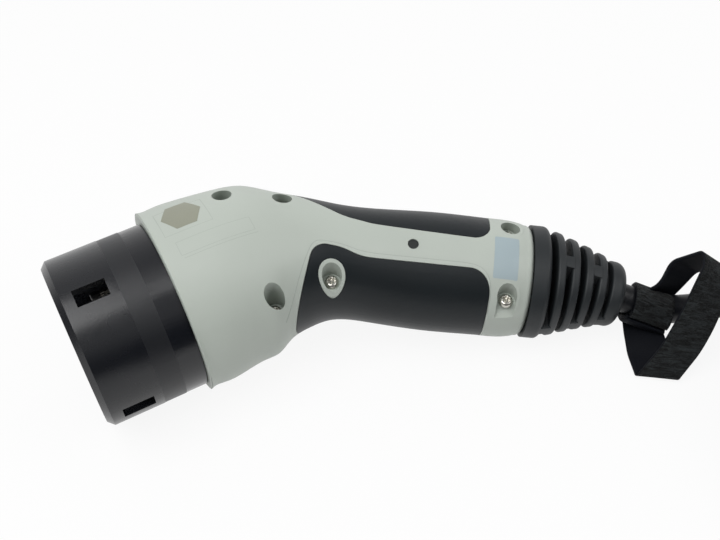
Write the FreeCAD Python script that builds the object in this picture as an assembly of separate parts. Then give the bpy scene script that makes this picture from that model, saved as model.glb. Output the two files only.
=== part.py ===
import FreeCAD, Part
import math
import os
from FreeCAD import Matrix, Placement, Rotation, Vector

# A Type 2 charging plug with its cable, lying on its side. Millimetres.
# The plug is drawn upright: X runs from the mating face to the rear, Y is up in use and
# Z is the normal of the plane where the two housing shells part. The last step rolls it
# on to its side. The origin is the centre of the mating face.

# ---------------------------------------------------------------- mating shroud
shroud_radius = 35.0
shroud_wall = 3.6
shroud_chamfer = 2.4
shroud_front_length = 41.0
neck_step = 1.0
neck_length = 5.0
groove_length = 3.0
groove_depth = 2.6
seal_section = 1.0
seal_play = 0.03
seal_width = 2.6
flange_length = 3.0
cavity_depth = 33.0
floor_thickness = 6.0
cavity_flat_height = 25.0
window_start = 7.0
window_length = 12.75
window_width = 7.4

# ---------------------------------------------------------------- contacts
power_pin_radius = 3.0
pilot_pin_radius = 1.5
pin_pitch = 16.0
lower_pin_half_pitch = 8.0
lower_pin_drop = 13.9
pilot_half_pitch = 7.5
pilot_rise = 13.0
earth_pin_length = 27.0
power_pin_length = 25.0
pilot_pin_length = 20.0
pin_tip_length = 4.0
pin_shoulder = 0.3
pin_shoulder_rise = 0.5
pin_collar = 1.3
pin_collar_length = 3.0
barrel_wall = 1.1
barrel_length = 16.0
retainer_thickness = 5.0
retainer_screw_ring = 22.5
retainer_screw_radius = 1.5

# ---------------------------------------------------------------- housing
shell_lip = 1.8
body_half_height = 38.8
grip_half_height = 24.2
grip_half_width = 24.6
body_rise = 1.0
body_run = 19.4
bend_radius = 100.0
bend_angle = 32.5
grip_run = 73.0
shell_wall = 2.4
front_ring = 3.0
rear_ring = 4.5
front_edge_round = 1.2
rear_edge_round = 3.0

# ---------------------------------------------------------------- grips, screws, insert
grip_depth = 1.4
grip_seam = 0.2
recess_radius = 4.0
boss_wall = 1.3
far_boss_wall = 2.5
screw_radius = 1.5
screw_head_radius = 2.8
screw_head_height = 2.2
screw_bite = 9.0
front_seat = 8.0
rear_seat = 12.5
ramp_width = 7.4
insert_radius = 2.15
insert_depth = 3.2
insert_station = 100.5
insert_offset = -1.7

# ---------------------------------------------------------------- cable, boot, clamp
cable_radius = 6.0
boot_collar_radius = 23.3
boot_collar_length = 7.2
boot_tip_radius = 13.6
boot_tip_length = 6.6
boot_ribs = 4
boot_slot = 2.3
boot_rib = 3.5
boot_sleeve = 2.2
boot_bridge = 5.0
boot_spigot_radius = 12.0
boot_flange_radius = 14.4
boot_flange_length = 1.4
boot_collar_round = 2.4
boot_rib_round = 1.0
boot_rib_slope = 0.5
boot_tip_round = 4.0
clamp_station = 118.0
clamp_length = 9.0
clamp_half_width = 15.0
clamp_thickness = 4.0
clamp_screw_radius = 1.5
sheath_margin = 4.0
conductor_radius = 1.6
fit = 0.2
# The soft boot bows under the cable: how far its tip turns, and which way it leans,
# measured round the axis from the inside of the bend towards the far side.
boot_bow = 9.0
boot_bow_lean = 48.0

# ---------------------------------------------------------------- free cable
# The route over the floor: X, Y and the height of the cable's centre above the floor.
LEAD_IN = [
    (220.5, -83.0, 11.2),
    (238.0, -90.6, 7.6),
    (261.0, -95.2, cable_radius),
    (280.0, -96.5, cable_radius),
    (296.0, -96.0, cable_radius),
]
LEAD_OUT = [
    (304.2, -259.3, 42.0),
    (284.0, -256.1, 42.0),
    (262.0, -252.6, 39.0),
    (238.0, -248.8, 31.0),
    (216.5, -245.4, 23.2),
]
coil_entry = 8.0
coil_columns = 3
coil_layers = 4
coil_mean_radius = 72.0
coil_tie_width = 16.0
coil_tie_thickness = 1.5
coil_tie_angle = -60.0

# ---------------------------------------------------------------- hook-and-loop strap
strap_width = 17.0
strap_thickness = 1.5
strap_layers = 2
strap_rise = 0.3
strap_turn = -20.0
strap_lean = 35.0
# Each edge of the strap's loop as corners in its own plane: across and up from the fold
# on the floor, and the radius of the bend.
NEAR_EDGE = [
    (0.0, 1.0, 1.6),
    (14.0, 0.6, 30.0),
    (28.0, 4.0, 12.0),
    (36.6, 11.0, 6.0),
    (34.0, 24.0, 20.0),
    (33.0, 41.0, 9.0),
    (25.5, 53.0, 4.5),
    (11.0, 36.0, 60.0),
    (2.6, 16.0, 30.0),
]
FAR_EDGE = [
    (-8.0, 11.4, 1.6),
    (8.0, 11.4, 30.0),
    (25.0, 11.9, 12.0),
    (35.6, 15.0, 6.0),
    (34.5, 25.0, 20.0),
    (35.0, 40.0, 9.0),
    (25.5, 51.5, 4.5),
    (6.5, 37.0, 60.0),
    (-3.5, 20.0, 30.0),
]
far_edge_reach = 11.8
far_edge_spread = 0.08
strap_fold = (198.2, -101.6)

# ---------------------------------------------------------------- vehicle connector
# Where the tip of its bend relief lies, and the heading from there to its nose.
connector_tail = (190.0, -241.2)
connector_heading = 171.0
connector_nose_play = 1.2
connector_nose_length = 36.0
connector_bore_play = 1.0
connector_bore_depth = 28.0
connector_shoulder_radius = 35.0
connector_shoulder_run = 6.0
connector_waist_radius = 25.0
connector_waist = 62.0
connector_rear_radius = 23.0
connector_body_length = 88.0

BODY, BEND, GRIP = range(3)
# The housing's form: a run of the centreline, the share of that run, and how far the
# half height and half width stand from the grip's size (0) to the body's size (1).
STATIONS = [
    (BODY, 0.00, 1.00, 1.00),
    (BODY, 0.40, 0.98, 1.00),
    (BODY, 0.80, 0.95, 1.00),
    (BEND, 0.18, 0.85, 0.92),
    (BEND, 0.34, 0.78, 0.76),
    (BEND, 0.49, 0.45, 0.56),
    (BEND, 0.68, 0.17, 0.32),
    (BEND, 0.90, -0.06, 0.12),
    (GRIP, 0.14, -0.06, 0.02),
    (GRIP, 0.45, 0.03, 0.00),
    (GRIP, 0.73, 0.00, 0.02),
    (GRIP, 0.91, -0.04, -0.02),
    (GRIP, 1.00, -0.10, -0.11),
]

neck_radius = shroud_radius - neck_step
shell_start = shroud_front_length + fit
groove_radius = neck_radius - groove_depth
cavity_radius = shroud_radius - shroud_wall
body_half_width = shroud_radius + shell_lip
bend = math.radians(bend_angle)
bend_run = bend_radius * bend
shell_length = body_run + bend_run + grip_run
groove_start = shroud_front_length + neck_length
shroud_length = groove_start + groove_length + flange_length
floor_back = cavity_depth + floor_thickness
retainer_radius = groove_radius - 4.0
retainer_back = floor_back + retainer_thickness
barrel_radius = conductor_radius + barrel_wall
barrel_end = retainer_back + barrel_length
seal_depth = 2 * (seal_section + seal_play) - fit
seal_start = shell_start + 0.6
flange_station = shell_length - rear_ring + 1.4
boot_length = (
    boot_collar_length + (boot_ribs + 1) * boot_slot + boot_ribs * boot_rib + boot_tip_length
)
grip_end = body_run + bend_run + 56.2
sheath_station = clamp_station - sheath_margin
clamp_screw_offset = clamp_half_width - 4.0
ARC_POINTS = 12
FAR = 200.0
# How far under the outer surface a boss's top ends, so that it leaves no mark there.
buried = 0.02
# The shell screws: station, offset from the centreline, height of the seat.
SCREWS = [
    (31.0, 21.4, front_seat),
    (50.7, 17.0, front_seat),
    (39.3, -25.0, front_seat),
    (68.7, -16.3, rear_seat),
    (139.3, -17.0, rear_seat),
    (139.3, 12.0, rear_seat),
]
insert_floor = grip_half_width - insert_depth
coil_width = coil_columns * 2 * cable_radius
coil_height = coil_layers * 2 * cable_radius
coil_outer_radius = coil_mean_radius + coil_width / 2
coil_centre = Vector(
    LEAD_IN[-1][0] + coil_entry, LEAD_IN[-1][1] - coil_outer_radius + cable_radius, 0
)
connector_nose_radius = cavity_radius - connector_nose_play
connector_length = connector_nose_length + connector_body_length


# ---------------------------------------------------------------- helpers
def spine(station):
    """Point of the housing's centreline and its turn, a distance behind the front edge."""
    start = Vector(shell_start, body_rise, 0)
    if station <= body_run:
        return start + Vector(station, 0, 0), 0.0
    turn = min((station - body_run) / bend_radius, bend)
    point = start + Vector(
        body_run + bend_radius * math.sin(turn),
        -bend_radius * (1 - math.cos(turn)),
        0,
    )
    rest = max(station - body_run - bend_run, 0)
    return point + Vector(math.cos(turn), -math.sin(turn), 0) * rest, turn


def at(station, offset=0.0, z=0.0):
    """The point a given offset above the centreline, and z to its side."""
    point, turn = spine(station)
    return point + Vector(math.sin(turn), math.cos(turn), 0) * offset + Vector(0, 0, z)


def along(station):
    turn = spine(station)[1]
    return Vector(math.cos(turn), -math.sin(turn), 0)


def station_of(run, share):
    starts = (0.0, body_run, body_run + bend_run)
    lengths = (body_run, bend_run, grip_run)
    return starts[run] + share * lengths[run]


def blend(share, small, large):
    return small + share * (large - small)


def oval(station, half_height, half_width):
    """An upright oval across the centreline, cut off square a little past the parting plane."""
    points = []
    for k in range(ARC_POINTS):
        a = math.radians(blend(k / (ARC_POINTS - 1), -20, 200))
        points.append(at(station, half_height * math.cos(a), half_width * math.sin(a)))
    arc = Part.BSplineCurve()
    arc.interpolate(points)
    return Part.Wire([arc.toShape(), Part.makeLine(points[-1], points[0])])


def near_half(shape):
    return shape.common(Part.makeBox(2 * FAR, 2 * FAR, FAR, Vector(-FAR / 2, -FAR, 0)))


def half_form(inset=0.0, first=0.0, last=shell_length):
    """The near half of the housing's form, inset all round, between two stations."""
    sections = []
    for run, share, high, wide in STATIONS:
        sections.append(
            oval(
                min(max(station_of(run, share), first), last),
                blend(high, grip_half_height, body_half_height) - inset,
                blend(wide, grip_half_width, body_half_width) - inset,
            )
        )
    return near_half(Part.makeLoft(sections, True, False))


def rounded_end(station, reach, row):
    """The quarter-round rim that ends the form, reaching back or forward from a station."""
    high = blend(row[2], grip_half_height, body_half_height)
    wide = blend(row[3], grip_half_width, body_half_width)
    sections = []
    for degrees in (0, 30, 60, 90):
        a = math.radians(degrees)
        inset = abs(reach) * (1 - math.cos(a))
        place = station + reach * math.sin(a)
        sections.append(oval(place, high - inset, wide - inset))
    return near_half(Part.makeLoft(sections, True, False))


def far_side(shape):
    return shape.mirror(Vector(0, 0, 0), Vector(0, 0, 1))


def rod_z(station, offset, radius, low, high):
    """A rod across the parting plane, from one height above it to another."""
    return Part.makeCylinder(radius, high - low, at(station, offset, low), Vector(0, 0, 1))


def rod_along(station, radius, length, offset=0.0, z=0.0):
    """A rod along the centreline, its seam on the far side."""
    rod = Part.makeCylinder(radius, length)
    aim = Rotation(Vector(0, 0, 1), -math.degrees(spine(station)[1]))
    rod.Placement = Placement(at(station, offset, z), aim * Rotation(Vector(0, 1, 0), 90))
    return rod


def rod_x(x, radius, length, y=0.0, z=0.0):
    rod = Part.makeCylinder(radius, length)
    rod.Placement = Placement(Vector(x, y, z), Rotation(Vector(0, 1, 0), 90))
    return rod


def block(station, length, low, high, near, far):
    """A block square to the centreline, between two offsets and two heights."""
    box = Part.makeBox(length, high - low, far - near, Vector(0, low, near))
    point, turn = spine(station)
    box.Placement = Placement(point, Rotation(Vector(0, 0, 1), -math.degrees(turn)))
    return box


def rounded(corners, closed=True):
    """A wire through corners, each a point and the radius of the arc that rounds it."""
    edges = []
    count = len(corners)
    ends = []
    for i, (corner, radius) in enumerate(corners):
        if not closed and i in (0, count - 1):
            ends.append((corner, corner))
            continue
        back = (corners[i - 1][0] - corner).normalize()
        on = (corners[(i + 1) % count][0] - corner).normalize()
        turn = math.pi - back.getAngle(on)
        reach = radius * math.tan(turn / 2)
        start = corner + back * reach
        end = corner + on * reach
        middle = corner + (back + on).normalize() * (radius / math.cos(turn / 2) - radius)
        edges.append(Part.Arc(start, middle, end).toShape())
        ends.append((start, end))
    for i in range(count if closed else count - 1):
        start = ends[i][1]
        end = ends[(i + 1) % count][0]
        if start.distanceToPoint(end) > 1e-6:
            edges.append(Part.LineSegment(start, end).toShape())
    return Part.Wire(Part.__sortEdges__(edges))


def fused(shapes):
    shapes = list(shapes)
    return shapes[0].multiFuse(shapes[1:]).removeSplitter()


# ---------------------------------------------------------------- mating shroud
def contacts():
    """Each contact's name, place across the axis, radius and length beyond the floor."""
    return [
        ("pin_earth", 0.0, 0.0, power_pin_radius, earth_pin_length),
        ("pin_line_1", 0.0, -pin_pitch, power_pin_radius, power_pin_length),
        ("pin_neutral", 0.0, pin_pitch, power_pin_radius, power_pin_length),
        ("pin_line_2", -lower_pin_drop, -lower_pin_half_pitch, power_pin_radius, power_pin_length),
        ("pin_line_3", -lower_pin_drop, lower_pin_half_pitch, power_pin_radius, power_pin_length),
        ("pin_control_pilot", pilot_rise, -pilot_half_pitch, pilot_pin_radius, pilot_pin_length),
        ("pin_proximity", pilot_rise, pilot_half_pitch, pilot_pin_radius, pilot_pin_length),
    ]


def retainer_screw_places():
    for angle in (90, 210, 330):
        a = math.radians(angle)
        yield retainer_screw_ring * math.sin(a), retainer_screw_ring * math.cos(a)


def shroud():
    """The round shroud, its drilled floor and the neck, groove and flange the shells hold."""
    profile = [
        (0, cavity_radius),
        (0, shroud_radius - shroud_chamfer),
        (shroud_chamfer, shroud_radius),
        (shroud_front_length, shroud_radius),
        (shroud_front_length, neck_radius),
        (groove_start, neck_radius),
        (groove_start, groove_radius),
        (groove_start + groove_length, groove_radius),
        (groove_start + groove_length, neck_radius),
        (shroud_length, neck_radius),
        (shroud_length, retainer_radius + fit),
        (floor_back, retainer_radius + fit),
        (floor_back, 0),
        (cavity_depth, 0),
        (cavity_depth, cavity_radius),
    ]
    points = [Vector(x, r, 0) for x, r in profile]
    face = Part.Face(Part.makePolygon(points + points[:1]))
    body = face.revolve(Vector(0, 0, 0), Vector(1, 0, 0), 360)
    flat = rod_x(shroud_chamfer, cavity_radius + 0.5, cavity_depth - shroud_chamfer + 0.5)
    keep = Part.makeBox(FAR, FAR, FAR, Vector(0, cavity_flat_height, -FAR / 2))
    body = body.fuse(flat.common(keep))
    seal_groove = rod_x(seal_start, neck_radius + 1, seal_width)
    body = body.cut(seal_groove.cut(rod_x(seal_start, neck_radius - seal_depth, seal_width)))
    reach = shroud_wall + 4
    for turn in (0, 90, 180):
        window = Part.makeBox(
            window_length,
            window_width,
            reach,
            Vector(window_start, -window_width / 2, cavity_radius - 2),
        )
        body = body.cut(window.rotate(Vector(0, 0, 0), Vector(1, 0, 0), turn))
    for _, y, z, radius, _ in contacts():
        hole = radius + pin_shoulder + fit
        body = body.cut(rod_x(cavity_depth - 1, hole, floor_thickness + 2, y, z))
        seat = floor_back - pin_collar_length
        body = body.cut(rod_x(seat, radius + pin_collar + fit, pin_collar_length + 1, y, z))
    for y, z in retainer_screw_places():
        body = body.cut(rod_x(floor_back - 4, retainer_screw_radius, 5, y, z))
    return body.removeSplitter()


def pin(y, z, radius, length):
    """A turned contact: nose, shaft, thicker shank in the floor, collar and crimp barrel."""
    front = cavity_depth - length
    nose = front + pin_tip_length
    shoulder = cavity_depth - pin_shoulder_rise
    stub = radius * 0.55
    shapes = [
        rod_x(nose - pin_tip_length * 0.6, stub, pin_tip_length, y, z),
        rod_x(nose, radius, shoulder - nose, y, z),
        rod_x(shoulder, radius + pin_shoulder, retainer_back - shoulder, y, z),
        rod_x(floor_back - pin_collar_length, radius + pin_collar, pin_collar_length, y, z),
        rod_x(retainer_back, barrel_radius, barrel_length, y, z),
    ]
    bore = rod_x(
        barrel_end - barrel_length * 0.6, conductor_radius + fit / 2, barrel_length, y, z
    )
    return fused(shapes).cut(bore)


def pin_tip(y, z, radius, length):
    """The moulded touch guard on a contact's nose."""
    front = cavity_depth - length
    cap = rod_x(front, radius, pin_tip_length, y, z)
    cap = cap.makeFillet(radius * 0.5, [e for e in cap.Edges if e.BoundBox.XMax < front + 0.01])
    stub = radius * 0.55
    return cap.cut(rod_x(front + pin_tip_length * 0.4, stub, pin_tip_length, y, z))


def retainer():
    plate = rod_x(floor_back, retainer_radius, retainer_thickness)
    for _, y, z, radius, _ in contacts():
        hole = radius + pin_shoulder + fit
        plate = plate.cut(rod_x(floor_back - 1, hole, retainer_thickness + 2, y, z))
    for y, z in retainer_screw_places():
        plate = plate.cut(
            rod_x(floor_back - 1, retainer_screw_radius + fit, retainer_thickness + 2, y, z)
        )
    return plate


def screw(radius, head_radius, head_height, length):
    """A pan-head screw along -Z with the underside of its head at the origin."""
    head = Part.makeCylinder(head_radius, head_height)
    head = head.makeFillet(head_height * 0.45, [e for e in head.Edges if e.BoundBox.ZMin > 0.1])
    recess = Part.makeCylinder(head_radius * 0.42, head_height, Vector(0, 0, head_height * 0.45))
    guard = Part.makeCylinder(head_radius * 0.12, head_height, Vector(0, 0, 0))
    shank = Part.makeCylinder(radius, length + 0.1, Vector(0, 0, -length))
    return head.cut(recess).fuse(guard.common(head)).fuse(shank).removeSplitter()


def retainer_screws():
    shapes = []
    for y, z in retainer_screw_places():
        one = screw(retainer_screw_radius - 0.02, 2.6, 1.8, retainer_thickness + 3.5)
        one.Placement = Placement(
            Vector(retainer_back, y, z), Rotation(Vector(0, 1, 0), 90)
        )
        shapes.append(one)
    return Part.makeCompound(shapes)


def seal():
    return Part.makeTorus(
        neck_radius - seal_depth + seal_section + seal_play,
        seal_section,
        Vector(seal_start + seal_width / 2, 0, 0),
        Vector(1, 0, 0),
    )


# ---------------------------------------------------------------- housing
def lower_grip_outline():
    corners = [
        (38.5, -43.0, 1.0),
        (60.8, -5.2, 6.5),
        (72.0, -6.2, 18.0),
        (81.0, -8.8, 25.0),
        (grip_end, -8.8, 9.0),
        (grip_end, -36.0, 1.0),
    ]
    return rounded([(at(s, n), radius) for s, n, radius in corners])


def upper_grip_outline():
    corners = [
        (grip_end - 1.4, 40.0, 1.0),
        (grip_end - 1.4, 3.7, 6.5),
        (84.0, 5.8, 30.0),
        (72.0, 8.2, 25.0),
        (49.0, 28.5, 1.0),
        (49.0, 40.0, 1.0),
    ]
    return rounded([(at(s, n), radius) for s, n, radius in corners])


def layer(outline, shrink):
    """The skin of the near half under an outline, from the surface down to the grip's seat."""
    face = Part.Face(outline)
    if shrink:
        face = face.makeOffset2D(-shrink)
    return face.extrude(Vector(0, 0, FAR)).cut(half_form(grip_depth))


def grip(outline):
    return layer(outline, grip_seam).common(half_form())


def plain_shell():
    """The near shell before its screws: wall, rings, tongue and grip pockets."""
    body = half_form(0, front_edge_round, shell_length - rear_edge_round)
    body = body.fuse(rounded_end(front_edge_round, -front_edge_round, STATIONS[0]))
    body = body.fuse(
        rounded_end(shell_length - rear_edge_round, rear_edge_round, STATIONS[-1])
    )
    body = body.cut(half_form(shell_wall, front_ring, shell_length - rear_ring))
    body = body.cut(rod_x(shell_start - 1, neck_radius + fit, front_ring + 2))
    tongue = rod_x(groove_start + fit, FAR / 2, groove_length - 2 * fit)
    tongue = tongue.cut(rod_x(groove_start, groove_radius + fit, groove_length))
    body = body.fuse(tongue.common(half_form(shell_wall / 2)))
    ring = shell_length - rear_ring
    body = body.cut(rod_along(ring - 1, boot_spigot_radius + fit, rear_ring + 2))
    body = body.cut(
        rod_along(
            flange_station - fit, boot_flange_radius + fit, boot_flange_length + 2 * fit
        )
    )
    return body


def around_bosses(shape, gap=0.0):
    """Cuts a shape clear of the screw bosses that come through it."""
    for s, n, _ in SCREWS:
        shape = shape.cut(rod_z(s, n, recess_radius + boss_wall + gap, -1, FAR))
    return shape


def grip_pockets():
    return [layer(outline, 0) for outline in (lower_grip_outline(), upper_grip_outline())]


def near_shell():
    body = plain_shell()
    whole = half_form(buried)
    for s, n, _ in SCREWS:
        body = body.fuse(rod_z(s, n, recess_radius + boss_wall, 0, FAR).common(whole))
    for pocket in grip_pockets():
        body = body.cut(around_bosses(pocket))
    for s, n, seat in SCREWS:
        body = body.cut(rod_z(s, n, recess_radius, seat, FAR))
        body = body.cut(rod_z(s, n, screw_radius + fit, -1, seat + 1))
    s, n, seat = SCREWS[4]
    ramp = Part.makePolygon(
        [
            at(s - ramp_width / 2, n, seat),
            at(s - ramp_width / 2, n - 9, seat - 6),
            at(s - ramp_width / 2, n - 9, FAR),
            at(s - ramp_width / 2, n, FAR),
            at(s - ramp_width / 2, n, seat),
        ]
    )
    body = body.cut(Part.Face(ramp).extrude(along(s) * ramp_width))
    body = body.cut(
        rod_z(insert_station, insert_offset, insert_radius + fit / 4, insert_floor, FAR)
    )
    return body.removeSplitter()


def far_shell():
    body = plain_shell()
    whole = half_form(buried)
    for s, n, _ in SCREWS:
        body = body.fuse(rod_z(s, n, screw_radius + far_boss_wall, 0, FAR).common(whole))
    cradle = block(
        clamp_station, clamp_length, -clamp_half_width, clamp_half_width, 0, FAR
    )
    body = body.fuse(cradle.common(whole))
    for pocket in grip_pockets():
        body = body.cut(pocket)
    body = body.cut(rod_along(clamp_station - 1, cable_radius, clamp_length + 2))
    for s, n, _ in SCREWS:
        body = body.cut(rod_z(s, n, screw_radius, -1, screw_bite + 2))
    for side in (-1, 1):
        n = side * clamp_screw_offset
        body = body.cut(
            rod_z(clamp_station + clamp_length / 2, n, clamp_screw_radius, -1, screw_bite + 1)
        )
    return far_side(body.removeSplitter())


def shell_screws():
    shapes = []
    for s, n, seat in SCREWS:
        one = screw(screw_radius - 0.02, screw_head_radius, screw_head_height, seat + screw_bite)
        one.Placement = Placement(at(s, n, seat), Rotation())
        shapes.append(one)
    return Part.makeCompound(shapes)


def round_insert():
    return rod_z(
        insert_station, insert_offset, insert_radius, insert_floor, grip_half_width - 0.5
    )


# ---------------------------------------------------------------- cable end of the plug
def cable_clamp():
    bar = block(
        clamp_station,
        clamp_length,
        -clamp_half_width,
        clamp_half_width,
        fit,
        cable_radius + clamp_thickness,
    )
    bar = bar.cut(rod_along(clamp_station - 1, cable_radius, clamp_length + 2))
    for side in (-1, 1):
        n = side * clamp_screw_offset
        bar = bar.cut(rod_z(clamp_station + clamp_length / 2, n, clamp_screw_radius + fit, -1, FAR))
    return bar


def clamp_screws():
    shapes = []
    for side in (-1, 1):
        seat = cable_radius + clamp_thickness
        one = screw(clamp_screw_radius - 0.02, 2.8, 2.0, seat + screw_bite)
        place = at(clamp_station + clamp_length / 2, side * clamp_screw_offset, seat)
        one.Placement = Placement(place, Rotation())
        shapes.append(one)
    return Part.makeCompound(shapes)


def bow_at(x, bow):
    """A boot's centreline at x: the point and its turn, for a boot whose tip turns by bow."""
    lean = math.radians(boot_bow_lean)
    side = Vector(0, -math.cos(lean), -math.sin(lean))
    axis = Vector(1, 0, 0).cross(side)
    share = max(x - boot_collar_length, 0) / (boot_length - boot_collar_length)
    turn = math.radians(bow) * share
    if turn < 1e-6:
        return Vector(x, 0, 0), Rotation()
    radius = (x - boot_collar_length) / turn
    point = Vector(boot_collar_length + radius * math.sin(turn), 0, 0)
    return point + side * radius * (1 - math.cos(turn)), Rotation(axis, math.degrees(turn))


def bowed(shape, x, bow):
    point, turn = bow_at(x, bow)
    shape.Placement = Placement(point, turn)
    return shape


def bowed_rod(first, radius, bow, past=0.0):
    """A rod down a boot's centreline, straight as far as the ribs and bowed behind them."""
    start = Vector(first, 0, 0)
    collar = Vector(boot_collar_length, 0, 0)
    end, turn = bow_at(boot_length, bow)
    edges = [Part.LineSegment(start, collar).toShape()]
    if bow:
        middle = bow_at((boot_collar_length + boot_length) / 2, bow)[0]
        edges.append(Part.Arc(collar, middle, end).toShape())
    else:
        edges.append(Part.LineSegment(collar, end).toShape())
    if past:
        beyond = end + turn.multVec(Vector(past, 0, 0))
        edges.append(Part.LineSegment(end, beyond).toShape())
    return swept(Part.Wire(edges), start, Vector(1, 0, 0), radius)


def boot_form(bow):
    """The slotted bend relief: collar, ribs and tip on a sleeve, with bridges left between."""
    pitch = boot_slot + boot_rib
    taper = (boot_collar_radius - boot_tip_radius) / (boot_ribs + 1)
    spigot = rear_ring + boot_flange_length
    shapes = [bowed_rod(0, cable_radius + boot_sleeve, bow)]
    collar = rod_x(0, boot_collar_radius, boot_collar_length)
    back = [e for e in collar.Edges if e.BoundBox.XMin > boot_collar_length - 0.01]
    shapes.append(collar.makeFillet(boot_collar_round, back))
    for k in range(boot_ribs):
        radius = boot_collar_radius - (k + 1) * taper
        rib = Part.makeCone(
            radius + boot_rib_slope,
            radius - boot_rib_slope,
            boot_rib,
            Vector(0, 0, 0),
            Vector(1, 0, 0),
        )
        rims = [e for e in rib.Edges if e.BoundBox.YLength > radius]
        rib = rib.makeFillet(boot_rib_round, rims)
        shapes.append(bowed(rib, boot_collar_length + boot_slot + k * pitch, bow))
    tip = rod_x(0, boot_tip_radius, boot_tip_length)
    rim = [e for e in tip.Edges if e.BoundBox.XMin > boot_tip_length - 0.01]
    tip = tip.makeFillet(boot_tip_round, rim)
    rim = [e for e in tip.Edges if e.BoundBox.XMax < 0.01]
    tip = tip.makeFillet(boot_rib_round, rim)
    shapes.append(bowed(tip, boot_length - boot_tip_length, bow))
    for k in range(boot_ribs + 1):
        wide = boot_collar_radius - k * taper - boot_rib_slope
        narrow = boot_collar_radius - (k + 1) * taper + boot_rib_slope
        length = boot_slot + 2 * boot_rib_round
        cone = Part.makeCone(wide, narrow, length, Vector(0, 0, 0), Vector(1, 0, 0))
        web = Part.makeBox(length, 2 * wide, boot_bridge, Vector(0, -wide, -boot_bridge / 2))
        if k % 2:
            web.rotate(Vector(0, 0, 0), Vector(1, 0, 0), 90)
        start = boot_collar_length + k * pitch - boot_rib_round
        shapes.append(bowed(cone.common(web), start, bow))
    shapes.append(rod_x(-rear_ring, boot_spigot_radius, rear_ring))
    shapes.append(
        rod_x(flange_station - shell_length, boot_flange_radius, boot_flange_length)
    )
    return fused(shapes).cut(bowed_rod(-spigot, cable_radius, bow, spigot))


def shell_end():
    """Where the housing ends, as a placement that puts X along its centreline."""
    point, turn = spine(shell_length)
    return Placement(point, Rotation(Vector(0, 0, 1), -math.degrees(turn)))


def boot():
    body = boot_form(boot_bow)
    body.Placement = shell_end()
    return body


def cable_in_handle():
    rod = bowed_rod(sheath_station - shell_length, cable_radius, boot_bow)
    rod.Placement = shell_end()
    return rod


# ---------------------------------------------------------------- wiring
def easy(points):
    """A route as corners, each rounded as widely as its two runs allow."""
    corners = [(points[0], 0.0)]
    for before, here, after in zip(points, points[1:], points[2:]):
        turn = (here - before).getAngle(after - here)
        run = min(here.distanceToPoint(before), here.distanceToPoint(after))
        corners.append((here, 0.45 * run / math.tan(turn / 2)))
    return corners + [(points[-1], 0.0)]


def swept(path, start, way, radius):
    ring = Part.Wire([Part.Circle(start, way, radius).toShape()])
    return path.makePipeShell([ring], True, False)


def tube(points, radius):
    path = rounded(easy(points), closed=False)
    return swept(path, points[0], (points[1] - points[0]).normalize(), radius)


def conductors():
    """Each conductor runs from its barrel to its place in the end of the sheath."""
    wired = [c for c in contacts() if c[0] != "pin_proximity"]
    ring = 2.2 * conductor_radius
    for k, (name, y, z, _, _) in enumerate(wired):
        angle = math.atan2(z, y) if k else 0.0
        around = ring if k else 0.0
        n = around * math.cos(angle)
        w = around * math.sin(angle)
        start = Vector(barrel_end - barrel_length * 0.5, y, z)
        route = [
            start,
            Vector(barrel_end + 6, y, z),
            at(62.0, n, w),
            at(84.0, n, w),
            at(sheath_station, n, w),
        ]
        yield name.replace("pin_", "conductor_"), tube(route, conductor_radius)


def coding_resistor():
    """Joins the proximity contact's barrel to the earth contact's."""
    x = barrel_end - 3
    earth = Vector(x, 0, 0)
    proximity = Vector(x, pilot_rise, pilot_half_pitch)
    way = (proximity - earth).normalize()
    start = earth + way * (barrel_radius + 0.1)
    length = proximity.distanceToPoint(earth) - 2 * (barrel_radius + 0.1)
    lead = Part.makeCylinder(0.4, length, start, way)
    body = Part.makeCylinder(1.3, length * 0.55, start + way * (length * 0.225), way)
    return lead.fuse(body)


# ---------------------------------------------------------------- how the plug lies
def lowest(turn):
    """The lowest points of the body and of the boot's collar, rolled over by a turn."""
    high = body_half_height * math.sin(turn)
    wide = body_half_width * math.cos(turn)
    body = body_rise * math.sin(turn) - math.hypot(high, wide)
    rim = spine(shell_length + boot_collar_length - boot_collar_round)[0]
    slant = math.sqrt(1 - (math.sin(bend) * math.sin(turn)) ** 2)
    return body, rim.y * math.sin(turn) - boot_collar_radius * slant


def resting():
    """The roll at which body and collar touch the same floor, and that floor's height."""
    low = 0.0
    high = math.radians(40)
    for _ in range(50):
        middle = (low + high) / 2
        body, collar = lowest(middle)
        if collar > body:
            low = middle
        else:
            high = middle
    return math.degrees(low), lowest(low)[0]


lie_angle, floor = resting()
roll = Rotation(Vector(1, 0, 0), lie_angle)


def lying(shape):
    """Rolls a shape from the plug's upright frame on to the floor."""
    return shape.rotated(Vector(0, 0, 0), Vector(1, 0, 0), lie_angle)


def over_floor(points):
    return [Vector(x, y, floor + height) for x, y, height in points]


# ---------------------------------------------------------------- free cable
def cable_exit():
    return roll.multVec(shell_end().multVec(bow_at(boot_length, boot_bow)[0]))


def lead_in_points():
    return [cable_exit()] + over_floor(LEAD_IN)


def lead_in():
    return tube(lead_in_points(), cable_radius)


def coil_ring(inset=0.0):
    """The plain ring that the cable's turns fill."""
    height = coil_height - 2 * inset
    base = coil_centre + Vector(0, 0, floor + inset)
    outer = Part.makeCylinder(coil_outer_radius - inset, height, base)
    inner = coil_outer_radius - coil_width + inset
    return outer.cut(Part.makeCylinder(inner, height + 2, base - Vector(0, 0, 1)))


def coil_tie():
    """A flat tie round the turns, flush with their outside."""
    slab = Part.makeBox(
        FAR,
        coil_tie_width,
        coil_height + 2,
        Vector(0, -coil_tie_width / 2, floor - 1),
    )
    slab.Placement = Placement(coil_centre, Rotation(Vector(0, 0, 1), coil_tie_angle))
    return coil_ring().cut(coil_ring(coil_tie_thickness)).common(slab)


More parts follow.
